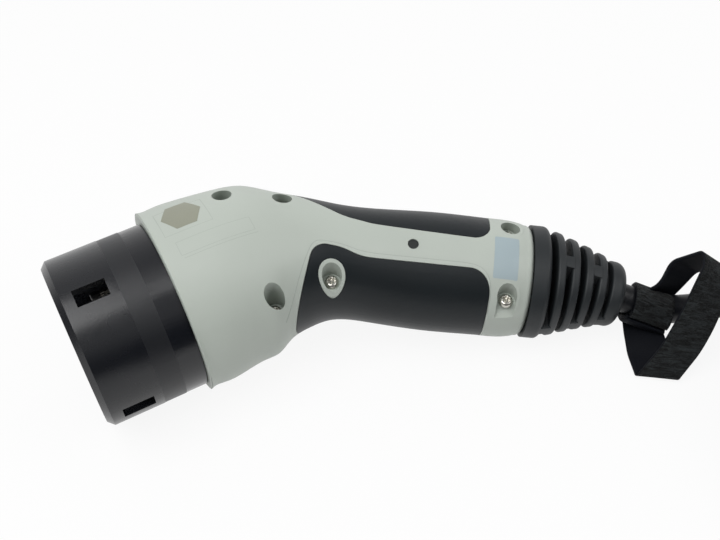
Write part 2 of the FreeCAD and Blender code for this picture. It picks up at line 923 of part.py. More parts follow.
# ---------------------------------------------------------------- hook-and-loop strap
def strap_edge(corners, reach, spread, swell):
    """One edge of the loop, thickened or thinned by swell, as a closed wire."""
    turn = math.radians(strap_turn)
    lean = math.radians(strap_lean)
    flat = Vector(math.cos(turn), math.sin(turn), 0)
    across = Vector(-math.sin(turn), math.cos(turn), 0)
    rise = Vector(0, 0, math.cos(lean)) + flat * math.sin(lean)
    wide = flat * math.cos(lean) - Vector(0, 0, math.sin(lean))
    fold = Vector(strap_fold[0], strap_fold[1], floor + strap_thickness / 2) + wide * reach
    rise = rise + wide * spread
    wire = rounded([(fold + across * a + rise * b, radius) for a, b, radius in corners])
    return Part.Face(wire).makeOffset2D(swell).OuterWire


def strap(cable):
    """The loop and the turns that hold it on the cable."""
    half = strap_thickness / 2
    skins = []
    for swell in (half, -half):
        near = strap_edge(NEAR_EDGE, 0, 0, swell)
        far = strap_edge(FAR_EDGE, far_edge_reach, far_edge_spread, swell)
        skins.append(Part.makeLoft([near, far], True, True))
    loop = skins[0].cut(skins[1])
    points = over_floor(LEAD_IN)
    way = (points[1] - cable_exit()).normalize()
    radius = cable_radius + strap_layers * strap_thickness
    middle = points[0] + Vector(0, 0, strap_rise)
    wrap = Part.makeCylinder(radius, strap_width, middle - way * strap_width / 2, way)
    return loop.fuse(wrap).cut(cable).removeSplitter()


# ---------------------------------------------------------------- vehicle connector
def connector_nose():
    nose = rod_x(0, connector_nose_radius, connector_nose_length)
    front = [e for e in nose.Edges if e.BoundBox.XMax < 0.01]
    nose = nose.makeFillet(1.0, front)
    top = cavity_flat_height - connector_nose_play
    nose = nose.cut(Part.makeBox(FAR, FAR, FAR, Vector(-1, top, -FAR / 2)))
    for _, y, z, radius, _ in contacts():
        bore = rod_x(-1, radius + connector_bore_play, connector_bore_depth + 1, y, -z)
        nose = nose.cut(bore)
    return nose


def connector_body():
    """The turned-looking body: a shoulder behind the nose, a waist and a rear rim."""
    start = connector_nose_length
    outline = [
        Vector(start, connector_shoulder_radius - 2.0, 0),
        Vector(start + 2.0, connector_shoulder_radius - 0.3, 0),
        Vector(start + connector_shoulder_run, connector_shoulder_radius, 0),
        Vector(start + 24.0, connector_shoulder_radius - 3.0, 0),
        Vector(start + connector_waist, connector_waist_radius, 0),
        Vector(connector_length, connector_rear_radius, 0),
    ]
    curve = Part.BSplineCurve()
    curve.interpolate(outline)
    rear = Vector(connector_length, 0, 0)
    front = Vector(start, 0, 0)
    edges = [
        Part.makeLine(front, outline[0]),
        curve.toShape(),
        Part.makeLine(outline[-1], rear),
        Part.makeLine(rear, front),
    ]
    body = Part.Face(Part.Wire(edges)).revolve(Vector(0, 0, 0), Vector(1, 0, 0), 360)
    ring = connector_length - rear_ring
    body = body.cut(rod_x(ring, boot_spigot_radius + fit, rear_ring + 1))
    flange = connector_length + flange_station - shell_length - fit
    return body.cut(rod_x(flange, boot_flange_radius + fit, boot_flange_length + 2 * fit))


def connector_boot():
    return boot_form(0).translated(Vector(connector_length, 0, 0))


def connector_place():
    """The connector on the floor, resting on its shoulder and its boot's collar."""
    shoulder = connector_nose_length + connector_shoulder_run
    collar = connector_length + boot_collar_length - boot_collar_round
    drop = math.atan2(connector_shoulder_radius - boot_collar_radius, collar - shoulder)
    height = connector_shoulder_radius * math.cos(drop) + shoulder * math.sin(drop)
    heading = math.radians(connector_heading)
    level = Vector(-math.cos(heading), -math.sin(heading), 0)
    way = level * math.cos(drop) - Vector(0, 0, math.sin(drop))
    up = level * math.sin(drop) + Vector(0, 0, math.cos(drop))
    tail = Vector(connector_tail[0], connector_tail[1], floor + height)
    nose = tail - level * (connector_length + boot_length) * math.cos(drop)
    return Placement(nose, Rotation(way, up, way.cross(up), "XYZ"))


def connected(shape):
    shape = shape.copy()
    shape.Placement = connector_place().multiply(shape.Placement)
    return shape


def lead_out_points():
    """The route from the coil into the connector, straight where its bend relief holds it."""
    place = connector_place()
    end = place.multVec(Vector(connector_length, 0, 0))
    before = place.multVec(Vector(connector_length + boot_length + cable_radius, 0, 0))
    return over_floor(LEAD_OUT) + [before, end]


def lead_out():
    return tube(lead_out_points(), cable_radius)


# ---------------------------------------------------------------- write the parts
def plug_pieces():
    """Every piece of the plug in its upright frame, by name."""
    yield "shroud", shroud()
    yield "contact_retainer", retainer()
    yield "retainer_screws", retainer_screws()
    yield "neck_seal", seal()
    tips = []
    for name, y, z, radius, length in contacts():
        yield name, pin(y, z, radius, length)
        tips.append(pin_tip(y, z, radius, length))
    yield "pin_tips", Part.makeCompound(tips)
    yield from conductors()
    yield "coding_resistor", coding_resistor()
    yield "near_shell", near_shell()
    yield "far_shell", far_shell()
    lower = grip(lower_grip_outline())
    upper = grip(upper_grip_outline())
    yield "near_lower_grip", around_bosses(lower, grip_seam)
    yield "near_upper_grip", around_bosses(upper, grip_seam)
    yield "far_lower_grip", far_side(lower)
    yield "far_upper_grip", far_side(upper)
    yield "shell_screws", shell_screws()
    yield "round_insert", round_insert()
    yield "cable_clamp", cable_clamp()
    yield "clamp_screws", clamp_screws()
    yield "cable_in_handle", cable_in_handle()
    yield "cable_boot", boot()


def floor_pieces():
    """The free cable and what is on it, where they lie."""
    first = lead_in()
    tie = coil_tie()
    yield "cable_lead", first.cut(coil_ring())
    yield "cable_strap", strap(first)
    yield "cable_coil", coil_ring().cut(tie)
    yield "coil_tie", tie
    yield "cable_tail", lead_out().cut(coil_ring())
    yield "connector_boot", connected(connector_boot())
    yield "connector_body", connected(connector_body())
    yield "connector_nose", connected(connector_nose())


def report_radii(name, points):
    radii = [round(radius) for _, radius in easy(points)[1:-1]]
    print(name, "arc radii in mm:", radii)


def main():
    os.makedirs("parts", exist_ok=True)
    for name, shape in plug_pieces():
        lying(shape).exportStep(f"parts/{name}.step")
    for name, shape in floor_pieces():
        shape.exportStep(f"parts/{name}.step")
    report_radii("cable_lead", lead_in_points())
    report_radii("cable_tail", lead_out_points())
    print("cable exit", cable_exit(), "floor", round(floor, 3), "roll", round(lie_angle, 3))


main()
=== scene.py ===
"""The looks of a Type 2 charging plug that lies on its side, with its cable and cable strap."""

import math

import bmesh
import bpy
from bpy.props import FloatProperty, FloatVectorProperty, IntProperty, PointerProperty
from mathutils import Euler, Matrix, Vector
from mathutils.bvhtree import BVHTree


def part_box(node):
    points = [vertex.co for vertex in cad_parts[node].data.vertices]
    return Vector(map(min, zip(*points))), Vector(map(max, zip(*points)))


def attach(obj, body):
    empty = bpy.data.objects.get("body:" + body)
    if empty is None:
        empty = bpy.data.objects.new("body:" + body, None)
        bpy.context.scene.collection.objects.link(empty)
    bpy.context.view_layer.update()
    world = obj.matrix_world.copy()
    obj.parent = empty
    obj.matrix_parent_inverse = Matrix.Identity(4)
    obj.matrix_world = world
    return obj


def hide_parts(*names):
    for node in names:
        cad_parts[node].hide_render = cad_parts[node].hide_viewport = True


bl_info = {
    "name": "Charging Plug",
    "version": (1, 0, 0),
    "blender": (4, 5, 0),
    "location": "View3D > Sidebar > Charging Plug",
    "description": "Finishes, screws, markings, cable and strap of a Type 2 charging plug",
    "category": "Object",
}

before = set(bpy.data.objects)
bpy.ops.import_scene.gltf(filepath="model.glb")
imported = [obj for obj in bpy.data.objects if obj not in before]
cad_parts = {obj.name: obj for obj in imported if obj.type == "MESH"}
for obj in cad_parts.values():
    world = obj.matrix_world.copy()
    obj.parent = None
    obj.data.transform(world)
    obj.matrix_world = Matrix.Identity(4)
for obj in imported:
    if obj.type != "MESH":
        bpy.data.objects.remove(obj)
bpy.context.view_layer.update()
BODY = "root"

MM = 0.001
# The plug is described upright, with its mating face at the origin, and lies rolled about X.
ROLL = math.radians(13.910)
LYING = Matrix.Rotation(ROLL, 4, "X")
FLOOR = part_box("cable_coil")[0].z
# The handle's centreline, in millimetres behind the mating face.
SHELL_START = 41.2
BODY_RISE = 1.0
BODY_RUN = 19.4
BEND_RADIUS = 100.0
BEND_ANGLE = math.radians(32.5)


# ------------------------------------------------------------------ sizes and colours
def colour_of(name, description, red, green, blue):
    """A colour as it looks on a screen, given in steps of 255."""
    return FloatVectorProperty(
        name=name,
        description=description,
        subtype="COLOR_GAMMA",
        size=3,
        min=0.0,
        max=1.0,
        default=(red / 255, green / 255, blue / 255),
    )


def length_of(name, description, millimetres):
    """A length that is shown in the scene's units."""
    return FloatProperty(
        name=name,
        description=description,
        default=millimetres * MM,
        min=0.0,
        unit="LENGTH",
        precision=5,
    )


class StageSettings(bpy.types.PropertyGroup):
    """The floor, the lamps and the camera."""

    floor: colour_of("Floor", "Colour of the floor", 235, 235, 235)
    key: FloatProperty(
        name="Key lamp", description="Power of the large lamp", default=6.0, unit="POWER"
    )
    fill: FloatProperty(
        name="Fill lamp", description="Power of the small lamp", default=2.0, unit="POWER"
    )
    sky: FloatProperty(name="Sky", description="Strength of the light all round", default=1.0)
    lens: FloatProperty(
        name="Lens", description="Focal length on a 36 mm sensor", default=52.8, unit="CAMERA"
    )


class MouldingSettings(bpy.types.PropertyGroup):
    """The moulded pieces of the plug."""

    housing: colour_of("Housing", "Pale grey plastic of the two shells", 178, 185, 177)
    grip: colour_of("Grips", "Soft black plastic of the grips", 24, 29, 32)
    shroud: colour_of("Shroud", "Black plastic of the shroud", 17, 19, 24)
    boot: colour_of("Boot", "Black rubber of the bend relief", 25, 30, 33)
    insert: colour_of("Insert", "Dark plastic of the round insert", 34, 38, 37)
    label: colour_of("Label", "Pale blue-grey of the bare label", 158, 173, 178)
    hexagon: colour_of("Hexagon", "Beige-grey of the hexagon", 140, 142, 127)
    # The outlines' grey is darker than the housing's: painted shade of the shallow grooves and
    # steps in the same pale plastic.
    outline: colour_of("Outlines", "Grey of the thin moulded outlines", 158, 165, 158)
    label_corner: length_of("Label corner", "How far the label's corners are cut", 0.4)
    line: length_of("Line", "Half the width of the thin outlines", 0.13)


class ScrewSettings(bpy.types.PropertyGroup):
    """The star-recess screws that hold the shells together."""

    metal: colour_of("Metal", "Colour of the plated steel", 196, 194, 186)
    head: length_of("Head", "Radius of the head", 2.8)
    height: length_of("Height", "Height of the head", 2.2)
    recess: length_of("Recess", "Radius of the star recess", 1.45)
    pin: length_of("Pin", "Radius of the pin in the middle of the recess", 0.36)


class CableSettings(bpy.types.PropertyGroup):
    """The charging cable."""

    sheath: colour_of("Sheath", "Colour of the outer sheath", 12, 14, 19)
    diameter: length_of("Diameter", "Diameter of the cable", 12.0)
    length: FloatProperty(
        name="Length", description="Length of the cable", default=4.05, unit="LENGTH"
    )
    turn_points: IntProperty(
        name="Points in a turn", description="Route points in each turn of the coil", default=24
    )


class StrapSettings(bpy.types.PropertyGroup):
    """The hook-and-loop strap on the cable."""

    pile: colour_of("Pile", "Colour of the looped outer face", 25, 28, 29)
    back: colour_of("Back", "Colour of the smooth inner face", 6, 9, 17)
    width: length_of("Width", "Width of the strap where it goes round the cable", 17.0)
    thickness: length_of("Thickness", "Thickness of the strap", 1.5)


class MetalSettings(bpy.types.PropertyGroup):
    """The contacts and the wiring."""

    contact: colour_of("Contacts", "Silver plating of the contacts", 150, 147, 139)
    guard: colour_of("Guards", "Touch guards on the contacts' noses", 16, 17, 19)
    retainer: colour_of("Retainer", "Plate that holds the contacts", 20, 21, 23)
    seal: colour_of("Seal", "Rubber of the seal ring", 140, 60, 48)
    clamp: colour_of("Clamp", "Plastic of the cable clamp", 92, 94, 96)


# ------------------------------------------------------------------ finishes
def linear(colour):
    """A screen colour as the shader reads it."""
    low = [c / 12.92 if c <= 0.04045 else ((c + 0.055) / 1.055) ** 2.4 for c in colour]
    return (*low, 1.0)


class Value:
    """A number that changes over a surface. Sums of values add their Math nodes."""

    def __init__(self, nodes, socket):
        self.nodes = nodes
        self.socket = socket

    def math(self, operation, *others):
        return self.nodes.math(operation, self, *others)

    def __add__(self, other):
        return self.math("ADD", other)

    __radd__ = __add__

    def __sub__(self, other):
        return self.math("SUBTRACT", other)

    def __rsub__(self, other):
        return self.nodes.math("SUBTRACT", other, self)

    def __mul__(self, other):
        return self.math("MULTIPLY", other)

    __rmul__ = __mul__

    def __truediv__(self, other):
        return self.math("DIVIDE", other)

    def over(self, low, high):
        """0 below low, 1 above high, and smooth between."""
        sockets = {"Value": self, "From Min": low, "From Max": high}
        settings = {"interpolation_type": "SMOOTHSTEP"}
        return self.nodes.node("ShaderNodeMapRange", settings, sockets)


class Nodes:
    """A node tree under construction."""

    def __init__(self, tree):
        self.tree = tree

    def node(self, kind, settings=None, sockets=None, out=0):
        made = self.tree.nodes.new(kind)
        for name, value in (settings or {}).items():
            if name == "stops":
                self.set_stops(made.color_ramp.elements, value)
            else:
                setattr(made, name, value)
        for name, value in (sockets or {}).items():
            self.feed(made.inputs[name], value)
        return Value(self, made.outputs[out])

    def feed(self, socket, value):
        if isinstance(value, Value):
            self.tree.links.new(value.socket, socket)
        else:
            socket.default_value = value

    def math(self, operation, *terms):
        sockets = dict(enumerate(terms))
        return self.node("ShaderNodeMath", {"operation": operation}, sockets)

    def axis(self, vector, name):
        """One of the three numbers of a vector."""
        return self.node("ShaderNodeSeparateXYZ", None, {"Vector": vector}, name)

    def set_stops(self, elements, stops):
        """Greys along a ramp, as pairs of place and brightness from place 0 to 1."""
        for place, grey in stops[1:-1]:
            elements.new(place)
        for element, (_, grey) in zip(elements, stops):
            element.color = (grey, grey, grey, 1.0)


class Finish(Nodes):
    """A material under construction."""

    def __init__(self, name):
        self.material = bpy.data.materials.new(name)
        self.material.use_nodes = True
        super().__init__(self.material.node_tree)
        self.shader = self.tree.nodes["Principled BSDF"]
        self.place = self.node("ShaderNodeTexCoord", out="Object")
        self.flat = self.node("ShaderNodeTexCoord", out="UV")

    def noise(self, size, detail=2.0, where=None, distortion=0.0):
        """Cloudy noise from 0 to 1 whose patches are about a given size in metres."""
        sockets = {
            "Vector": where or self.place,
            "Scale": 1 / size,
            "Detail": detail,
            "Distortion": distortion,
        }
        return self.node("ShaderNodeTexNoise", None, sockets)

    def across_strap(self, squeeze):
        """The strap's own coordinates, so that a pattern runs out long across it."""
        sockets = {"Vector": self.flat, "Scale": (1.0, squeeze, 1.0)}
        return self.node("ShaderNodeMapping", None, sockets)

    def mixed(self, share, one, other):
        """One colour blended into another."""
        settings = {"data_type": "RGBA"}
        return self.node("ShaderNodeMix", settings, {0: share, 6: one, 7: other}, out=2)

    def relief(self, height, depth):
        """A normal from a height between 0 and 1 that stands for a depth in metres."""
        sockets = {"Height": height, "Distance": depth, "Strength": 1.0}
        return self.node("ShaderNodeBump", None, sockets)

    def done(self, **sockets):
        """The finished material, with the shader's sockets set or fed."""
        for name, value in sockets.items():
            self.feed(self.shader.inputs[name.replace("_", " ")], value)
        return self.material


def shade(colour, factor):
    """A colour made lighter or darker."""
    return tuple(min(c * factor, 1.0) for c in colour[:3]) + (1.0,)


def moulded_plastic(
    name, colour, roughness, grain, depth, drift=0.05, bands=(), mirror=0.5
):
    """Moulded plastic with a fine eroded grain, faint flow marks and handled patches.

    Bands add to the roughness, each from a distance in millimetres along X.
    """
    finish = Finish(name)
    for start, rougher in bands:
        along = finish.axis(finish.place, "X")
        roughness = roughness + along.over(start * MM, (start + 0.2) * MM) * rougher
    base = linear(colour)
    flow = finish.noise(0.035, 3.0)
    handled = finish.noise(0.012, 4.0)
    tint = finish.mixed(flow.over(0.3, 0.7), shade(base, 1 - drift), shade(base, 1 + drift))
    fine = finish.noise(grain, 3.0)
    coarse = finish.noise(grain * 4, 2.0)
    normal = finish.relief(fine * 0.7 + coarse * 0.3, depth)
    return finish.done(
        Base_Color=tint,
        Roughness=roughness - 0.05 + 0.1 * handled,
        Specular_IOR_Level=mirror,
        Normal=normal,
    )


def rubber(name, colour, roughness, grain, depth):
    """Matt rubber with a dusty bloom in patches."""
    finish = Finish(name)
    base = linear(colour)
    bloom = finish.noise(0.008, 5.0).over(0.45, 0.8)
    speck = finish.noise(grain, 4.0)
    tint = finish.mixed(bloom * 0.35, base, shade(base, 1.35))
    return finish.done(
        Base_Color=tint,
        Roughness=roughness + 0.08 * bloom,
        Normal=finish.relief(speck, depth),
    )


def metal(name, colour, roughness):
    """Plated metal with fine tool marks and dull spots."""
    finish = Finish(name)
    base = linear(colour)
    marks = finish.noise(0.0004, 2.0)
    dull = finish.noise(0.0018, 4.0).over(0.5, 0.75)
    return finish.done(
        Base_Color=finish.mixed(dull * 0.6, base, shade(base, 0.7)),
        Metallic=1.0,
        Roughness=roughness + 0.12 * dull + 0.05 * marks,
        Normal=finish.relief(marks, 0.000012),
    )


def cable_sheath(name, colour):
    """Smooth extruded sheath with faint draw lines and scuffs."""
    finish = Finish(name)
    base = linear(colour)
    scuff = finish.noise(0.005, 6.0, distortion=0.6).over(0.58, 0.72)
    skin = finish.noise(0.0007, 3.0)
    return finish.done(
        Base_Color=finish.mixed(scuff * 0.4, base, shade(base, 1.6)),
        Roughness=0.4 + 0.15 * scuff,
        Specular_IOR_Level=0.35,
        Normal=finish.relief(skin, 0.00003),
    )


def strap_pile_with_painted_shade(name, colour):
    """The looped face: short fibres that lie mostly across the strap, with painted shade in the
    pile's hollows and painted light on its tufts.
    """
    finish = Finish(name)
    base = linear(colour)
    tufts = finish.noise(0.0013, 4.0, finish.across_strap(0.22), 1.2)
    fibres = finish.noise(0.0005, 5.0, finish.across_strap(0.3), 2.0)
    height = tufts * 0.6 + fibres * 0.4
    normal = finish.relief(height.over(0.3, 0.7), 0.0007)
    return finish.done(
        # Painted shade and painted light: the colour follows the relief's height, dark in the
        # pile's hollows and light on its tufts.
        Base_Color=finish.mixed(height.over(0.42, 0.62), shade(base, 0.3), shade(base, 2.6)),
        Roughness=0.9,
        Specular_IOR_Level=0.2,
        Sheen_Weight=0.06,
        Normal=normal,
    )


def strap_back(name, colour):
    """The smooth woven face, with a faint rib across."""
    finish = Finish(name)
    base = linear(colour)
    weave = finish.node(
        "ShaderNodeTexWave",
        {"wave_type": "BANDS", "bands_direction": "X"},
        {"Vector": finish.flat, "Scale": 1 / 0.004, "Distortion": 1.0, "Detail": 2.0},
    )
    thread = finish.noise(0.0006, 3.0, finish.flat)
    return finish.done(
        Base_Color=finish.mixed(thread, shade(base, 0.8), shade(base, 1.2)),
        Roughness=0.62 + 0.15 * thread,
        Specular_IOR_Level=0.2,
        Normal=finish.relief(weave * 0.15 + thread * 0.85, 0.00008),
    )


WHITE = (1.0, 1.0, 1.0, 1.0)
FLOOR_GLOW = 0.9


def floor_finish(name, colour):
    """A pale floor that the camera and mirrors see as nearly white, with a soft shadow."""
    finish = Finish(name)
    seen = finish.node("ShaderNodeLightPath", out="Is Camera Ray")
    mirrored = finish.node("ShaderNodeLightPath", out="Is Glossy Ray")
    through = finish.node("ShaderNodeLightPath", out="Is Transmission Ray")
    looked_at = seen.math("MAXIMUM", mirrored).math("MAXIMUM", through)
    base = linear(colour)
    dust = finish.noise(0.2, 3.0)
    finish.done(
        Base_Color=finish.mixed(dust * 0.2, base, shade(base, 0.97)),
        Roughness=0.9,
        Specular_IOR_Level=0.0,
    )
    white = finish.node("ShaderNodeEmission", None, {"Color": WHITE})
    lit = Value(finish, finish.shader.outputs[0])
    sockets = {0: looked_at * FLOOR_GLOW, 1: lit, 2: white}
    either = finish.node("ShaderNodeMixShader", None, sockets)
    finish.feed(finish.tree.nodes["Material Output"].inputs["Surface"], either)
    return finish.material


# ------------------------------------------------------------------ modelling
def plug_point(x, y, z):
    """A point of the upright plug, in millimetres, where it lies."""
    return LYING @ (Vector((x, y, z)) * MM)


def handle_point(station, offset, height=0.0):
    """A point beside the handle's centreline, a distance behind the shells' front edge."""
    turn = min(max(station - BODY_RUN, 0.0) / BEND_RADIUS, BEND_ANGLE)
    x = SHELL_START + min(station, BODY_RUN) + BEND_RADIUS * math.sin(turn)
    y = BODY_RISE - BEND_RADIUS * (1 - math.cos(turn))
    rest = max(station - BODY_RUN - BEND_RADIUS * BEND_ANGLE, 0.0)
    x += rest * math.cos(turn) + offset * math.sin(turn)
    y += -rest * math.sin(turn) + offset * math.cos(turn)
    return x, y, height


def new_piece(name, bm, *materials, slot):
    """A finished mesh piece that rides on the plug."""
    mesh = bpy.data.meshes.new(name)
    for face in bm.faces:
        face.smooth = True
    bm.to_mesh(mesh)
    bm.free()
    piece = bpy.data.objects.new(name, mesh)
    bpy.context.scene.collection.objects.link(piece)
    for material in materials:
        mesh.materials.append(material)
    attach(piece, BODY)
    return piece


def mark_sharp(bm, angle):
    """Edges that turn further than an angle stay crisp."""
    for edge in bm.edges:
        edge.smooth = len(edge.link_faces) == 2 and edge.calc_face_angle(0) < angle


def cut_off(bm, place, away, keep=False):
    """Cuts a mesh through along a plane, and takes off what lies beyond it."""
    bmesh.ops.bisect_plane(
        bm,
        geom=[*bm.verts, *bm.edges, *bm.faces],
        plane_co=place,
        plane_no=away,
        clear_outer=not keep,
    )


def smooth_copy(node, material, slot, angle=28.0):
    """A merged copy of a CAD node, smooth over its curved faces, that stands for it."""
    bm = bmesh.new()
    bm.from_mesh(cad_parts[node].data)
    bmesh.ops.remove_doubles(bm, verts=bm.verts, dist=1e-6)
    mark_sharp(bm, math.radians(angle))
    piece = new_piece(node + "_smooth", bm, slot=slot)
    if "custom_normal" in piece.data.attributes:
        piece.data.attributes.remove(piece.data.attributes["custom_normal"])
    piece.data.materials.clear()
    piece.data.materials.append(material)
    for polygon in piece.data.polygons:
        polygon.material_index = 0
    weigh = piece.modifiers.new("Weighted", "WEIGHTED_NORMAL")
    weigh.keep_sharp = True
    weigh.weight = 100
    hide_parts(node)
    return piece


def bent_sheet(bm, columns, rows, size, place):
    """Adds a grid bent into shape: place says where a share of its length and width goes."""
    made = bmesh.ops.create_grid(bm, x_segments=columns, y_segments=rows, size=0.5)
    sheet = made["verts"]
    uv = bm.loops.layers.uv.verify()
    for face in {face for vert in sheet for face in vert.link_faces}:
        for loop in face.loops:
            u, v = loop.vert.co.x + 0.5, loop.vert.co.y + 0.5
            loop[uv].uv = (u * size[0], v * size[1])
    for vert in sheet:
        vert.co = place(vert.co.x + 0.5, vert.co.y + 0.5)
    return sheet


def add_spline(curve, kind, places):
    """A run of points on a curve."""
    spline = curve.splines.new(kind)
    spline.points.add(len(places) - 1)
    for point, place in zip(spline.points, places):
        point.co = (*place, 1)
    return spline


def mesh_of(curve):
    """A curve as a mesh, without a trace of the curve in the scene."""
    holder = bpy.data.objects.new(curve.name, curve)
    bpy.context.scene.collection.objects.link(holder)
    mesh = bpy.data.meshes.new_from_object(holder)
    bpy.data.objects.remove(holder)
    bpy.data.curves.remove(curve)
    return mesh


def rounded_loop(corners, steps=6):
    """Points round a closed outline of corners, each with the radius that rounds it."""
    points = []
    for i, (x, y, radius) in enumerate(corners):
        here = Vector((x, y))
        back = (Vector(corners[i - 1][:2]) - here).normalized()
        on = (Vector(corners[(i + 1) % len(corners)][:2]) - here).normalized()
        half = back.angle(on) / 2
        middle = here + (back + on).normalized() * (radius / math.sin(half))
        start = here + back * (radius / math.tan(half))
        sweep = math.pi - 2 * half
        sweep *= 1 if back.cross(on) < 0 else -1
        for k in range(steps + 1):
            turned = Matrix.Rotation(sweep * k / steps, 2) @ (start - middle)
            points.append(middle + turned)
    return points


def evenly(points, count):
    """A closed line as a number of points at even distances, and its length."""
    ring = points + points[:1]
    runs = [(b - a).length for a, b in zip(ring, ring[1:])]
    total = sum(runs)
    spread = []
    k, passed = 0, 0.0
    for i in range(count):
        aim = total * i / count
        while passed + runs[k] < aim:
            passed += runs[k]
            k += 1
        spread.append(ring[k].lerp(ring[k + 1], (aim - passed) / max(runs[k], 1e-9)))
    return spread, total


# ------------------------------------------------------------------ stage
CAMERA_PLACE = (0.00569, -0.28001, 0.32783)
CAMERA_AIM = (40.352, 3.6806, -27.350)
# Each lamp's size, place and what it aims at.
LAMPS = {
    "key": (0.7, (-0.25, -0.10, 0.85), (0.10, -0.03, 0.0)),
    "fill": (0.5, (0.75, -0.55, 0.6), (0.12, -0.05, 0.0)),
}
FLOOR_REACH = 6.0
FLOOR_DROP = 0.0002
# How bright the room is round the plug: straight down at 0 and 1, towards -Y at a quarter,
# overhead at a half and towards +Y at three quarters.
ROOM = (
    (0.00, 0.50),
    (0.22, 0.02),
    (0.30, 0.02),
    (0.36, 0.50),
    (0.45, 0.50),
    (0.55, 0.45),
    (0.60, 0.60),
    (0.70, 0.95),
    (0.76, 1.00),
    (1.00, 0.50),
)


class BuildStage(bpy.types.Operator):
    """Lays the floor, sets the lamps and the camera"""

    bl_idname = "charging_plug.stage"
    bl_label = "Stage"

    def execute(self, context):
        settings = context.scene.plug_stage
        bm = bmesh.new()
        bmesh.ops.create_grid(bm, x_segments=1, y_segments=1, size=FLOOR_REACH)
        bmesh.ops.translate(bm, verts=bm.verts, vec=(0.2, 0.0, FLOOR - FLOOR_DROP))
        mesh = bpy.data.meshes.new("floor")
        bm.to_mesh(mesh)
        bm.free()
        mesh.materials.append(floor_finish("floor", settings.floor))
        floor = bpy.data.objects.new("floor", mesh)
        context.scene.collection.objects.link(floor)
        self.light_world(context, settings.sky)
        for name, (size, place, aim) in LAMPS.items():
            self.lamp(name, getattr(settings, name), size, Vector(place), Vector(aim))
        camera = bpy.data.objects.new("camera", bpy.data.cameras.new("camera"))
        context.scene.collection.objects.link(camera)
        camera.data.lens = settings.lens
        camera.data.sensor_width = 36.0
        camera.data.clip_start = 0.01
        camera.location = CAMERA_PLACE
        camera.rotation_euler = Euler([math.radians(a) for a in CAMERA_AIM])
        context.scene.camera = camera
        context.scene.view_settings.view_transform = "Standard"
        return {"FINISHED"}

    def light_world(self, context, sky):
        """A room that is dark on one side and pale on the other, which gives the blacks form."""
        world = bpy.data.worlds.new("room")
        world.use_nodes = True
        context.scene.world = world
        room = Nodes(world.node_tree)
        way = room.node("ShaderNodeTexCoord", out="Generated")
        back, up = room.axis(way, "Y"), room.axis(way, "Z")
        turn = back.math("ARCTAN2", up) / math.tau + 0.5
        end = room.axis(way, "X").over(-0.95, -0.35) * 0.85 + 0.15
        seen = room.node("ShaderNodeLightPath", out="Is Camera Ray")
        grey = room.node("ShaderNodeValToRGB", {"stops": ROOM}, {"Fac": turn})
        dim = room.node("ShaderNodeBackground", None, {"Color": grey, "Strength": end * sky})
        white = room.node("ShaderNodeBackground", None, {"Color": WHITE})
        either = room.node("ShaderNodeMixShader", None, {0: seen, 1: dim, 2: white})
        room.feed(room.tree.nodes["World Output"].inputs["Surface"], either)

    def lamp(self, name, power, size, place, aim):
        """A square lamp that faces its aim."""
        data = bpy.data.lights.new(name, "AREA")
        data.energy = power
        data.size = size
        lamp = bpy.data.objects.new(name, data)
        bpy.context.scene.collection.objects.link(lamp)
        lamp.location = place
        lamp.rotation_euler = (place - aim).to_track_quat("Z", "Y").to_euler()


# ------------------------------------------------------------------ plug
# Bands of the shroud's outside: where each starts, in millimetres, and what it adds to the
# roughness. Each lies a step below the one before.
SHROUD_BANDS = ((23.3, 0.14), (32.4, -0.19))
BAND_STEP = 0.14
SHROUD_RADIUS = 35.0
SHROUD_SKIN = 0.6
# How far the shells' front rim stands back from the shroud's flange, and how deep a rim is.
SHELL_GAP = 0.6
SHELL_RIM = 0.8
FLANGE_RIM = 0.4


class DressShroud(bpy.types.Operator):
    """Finishes the round shroud and the seal behind it"""

    bl_idname = "charging_plug.shroud"
    bl_label = "Shroud"

    def execute(self, context):
        colours = context.scene.plug_mouldings
        black = moulded_plastic(
            "shroud_plastic", colours.shroud, 0.27, 0.0005, 0.00003, 0.08, SHROUD_BANDS
        )
        shroud = smooth_copy("shroud", black, "black_shroud")
        self.step_bands(shroud)
        seal = rubber("seal_rubber", context.scene.plug_metals.seal, 0.45, 0.0004, 0.00002)
        smooth_copy("neck_seal", seal, "seal_rubber")
        return {"FINISHED"}

    def step_bands(self, shroud):
        """Small steps down in the outside of the shroud, where its bands meet."""
        bm = bmesh.new()
        bm.from_mesh(shroud.data)
        across = LYING.to_3x3() @ Vector((1, 0, 0))
        for start, _ in SHROUD_BANDS:
            for place in (start, start + BAND_STEP):
                cut_off(bm, across * place * MM, across, keep=True)
        for vert in bm.verts:
            x, y, z = vert.co / MM
            radius = math.hypot(y, z)
            steps = sum(x > start + BAND_STEP / 2 for start, _ in SHROUD_BANDS)
            if radius > SHROUD_RADIUS - SHROUD_SKIN and x < SHELL_START + FLANGE_RIM:
                vert.co.yz = vert.co.yz * (1 - steps * BAND_STEP / radius)
        mark_sharp(bm, math.radians(20.0))
        bm.to_mesh(shroud.data)
        bm.free()


class DressContacts(bpy.types.Operator):
    """Finishes the seven contacts, their guards and the plate that holds them"""

    bl_idname = "charging_plug.contacts"
    bl_label = "Contacts"

    def execute(self, context):
        colours = context.scene.plug_metals
        silver = metal("contact_silver", colours.contact, 0.24)
        for node in sorted(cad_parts):
            if node.startswith("pin_") and node != "pin_tips":
                smooth_copy(node, silver, "contact_silver")
        guard = moulded_plastic("guard_plastic", colours.guard, 0.4, 0.0004, 0.00002)
        smooth_copy("pin_tips", guard, "pin_guard")
        plate = moulded_plastic("retainer_plastic", colours.retainer, 0.45, 0.0005, 0.00003)
        smooth_copy("contact_retainer", plate, "pin_guard")
        steel = metal("retainer_steel", context.scene.plug_screws.metal, 0.3)
        smooth_copy("retainer_screws", steel, "steel")
        return {"FINISHED"}


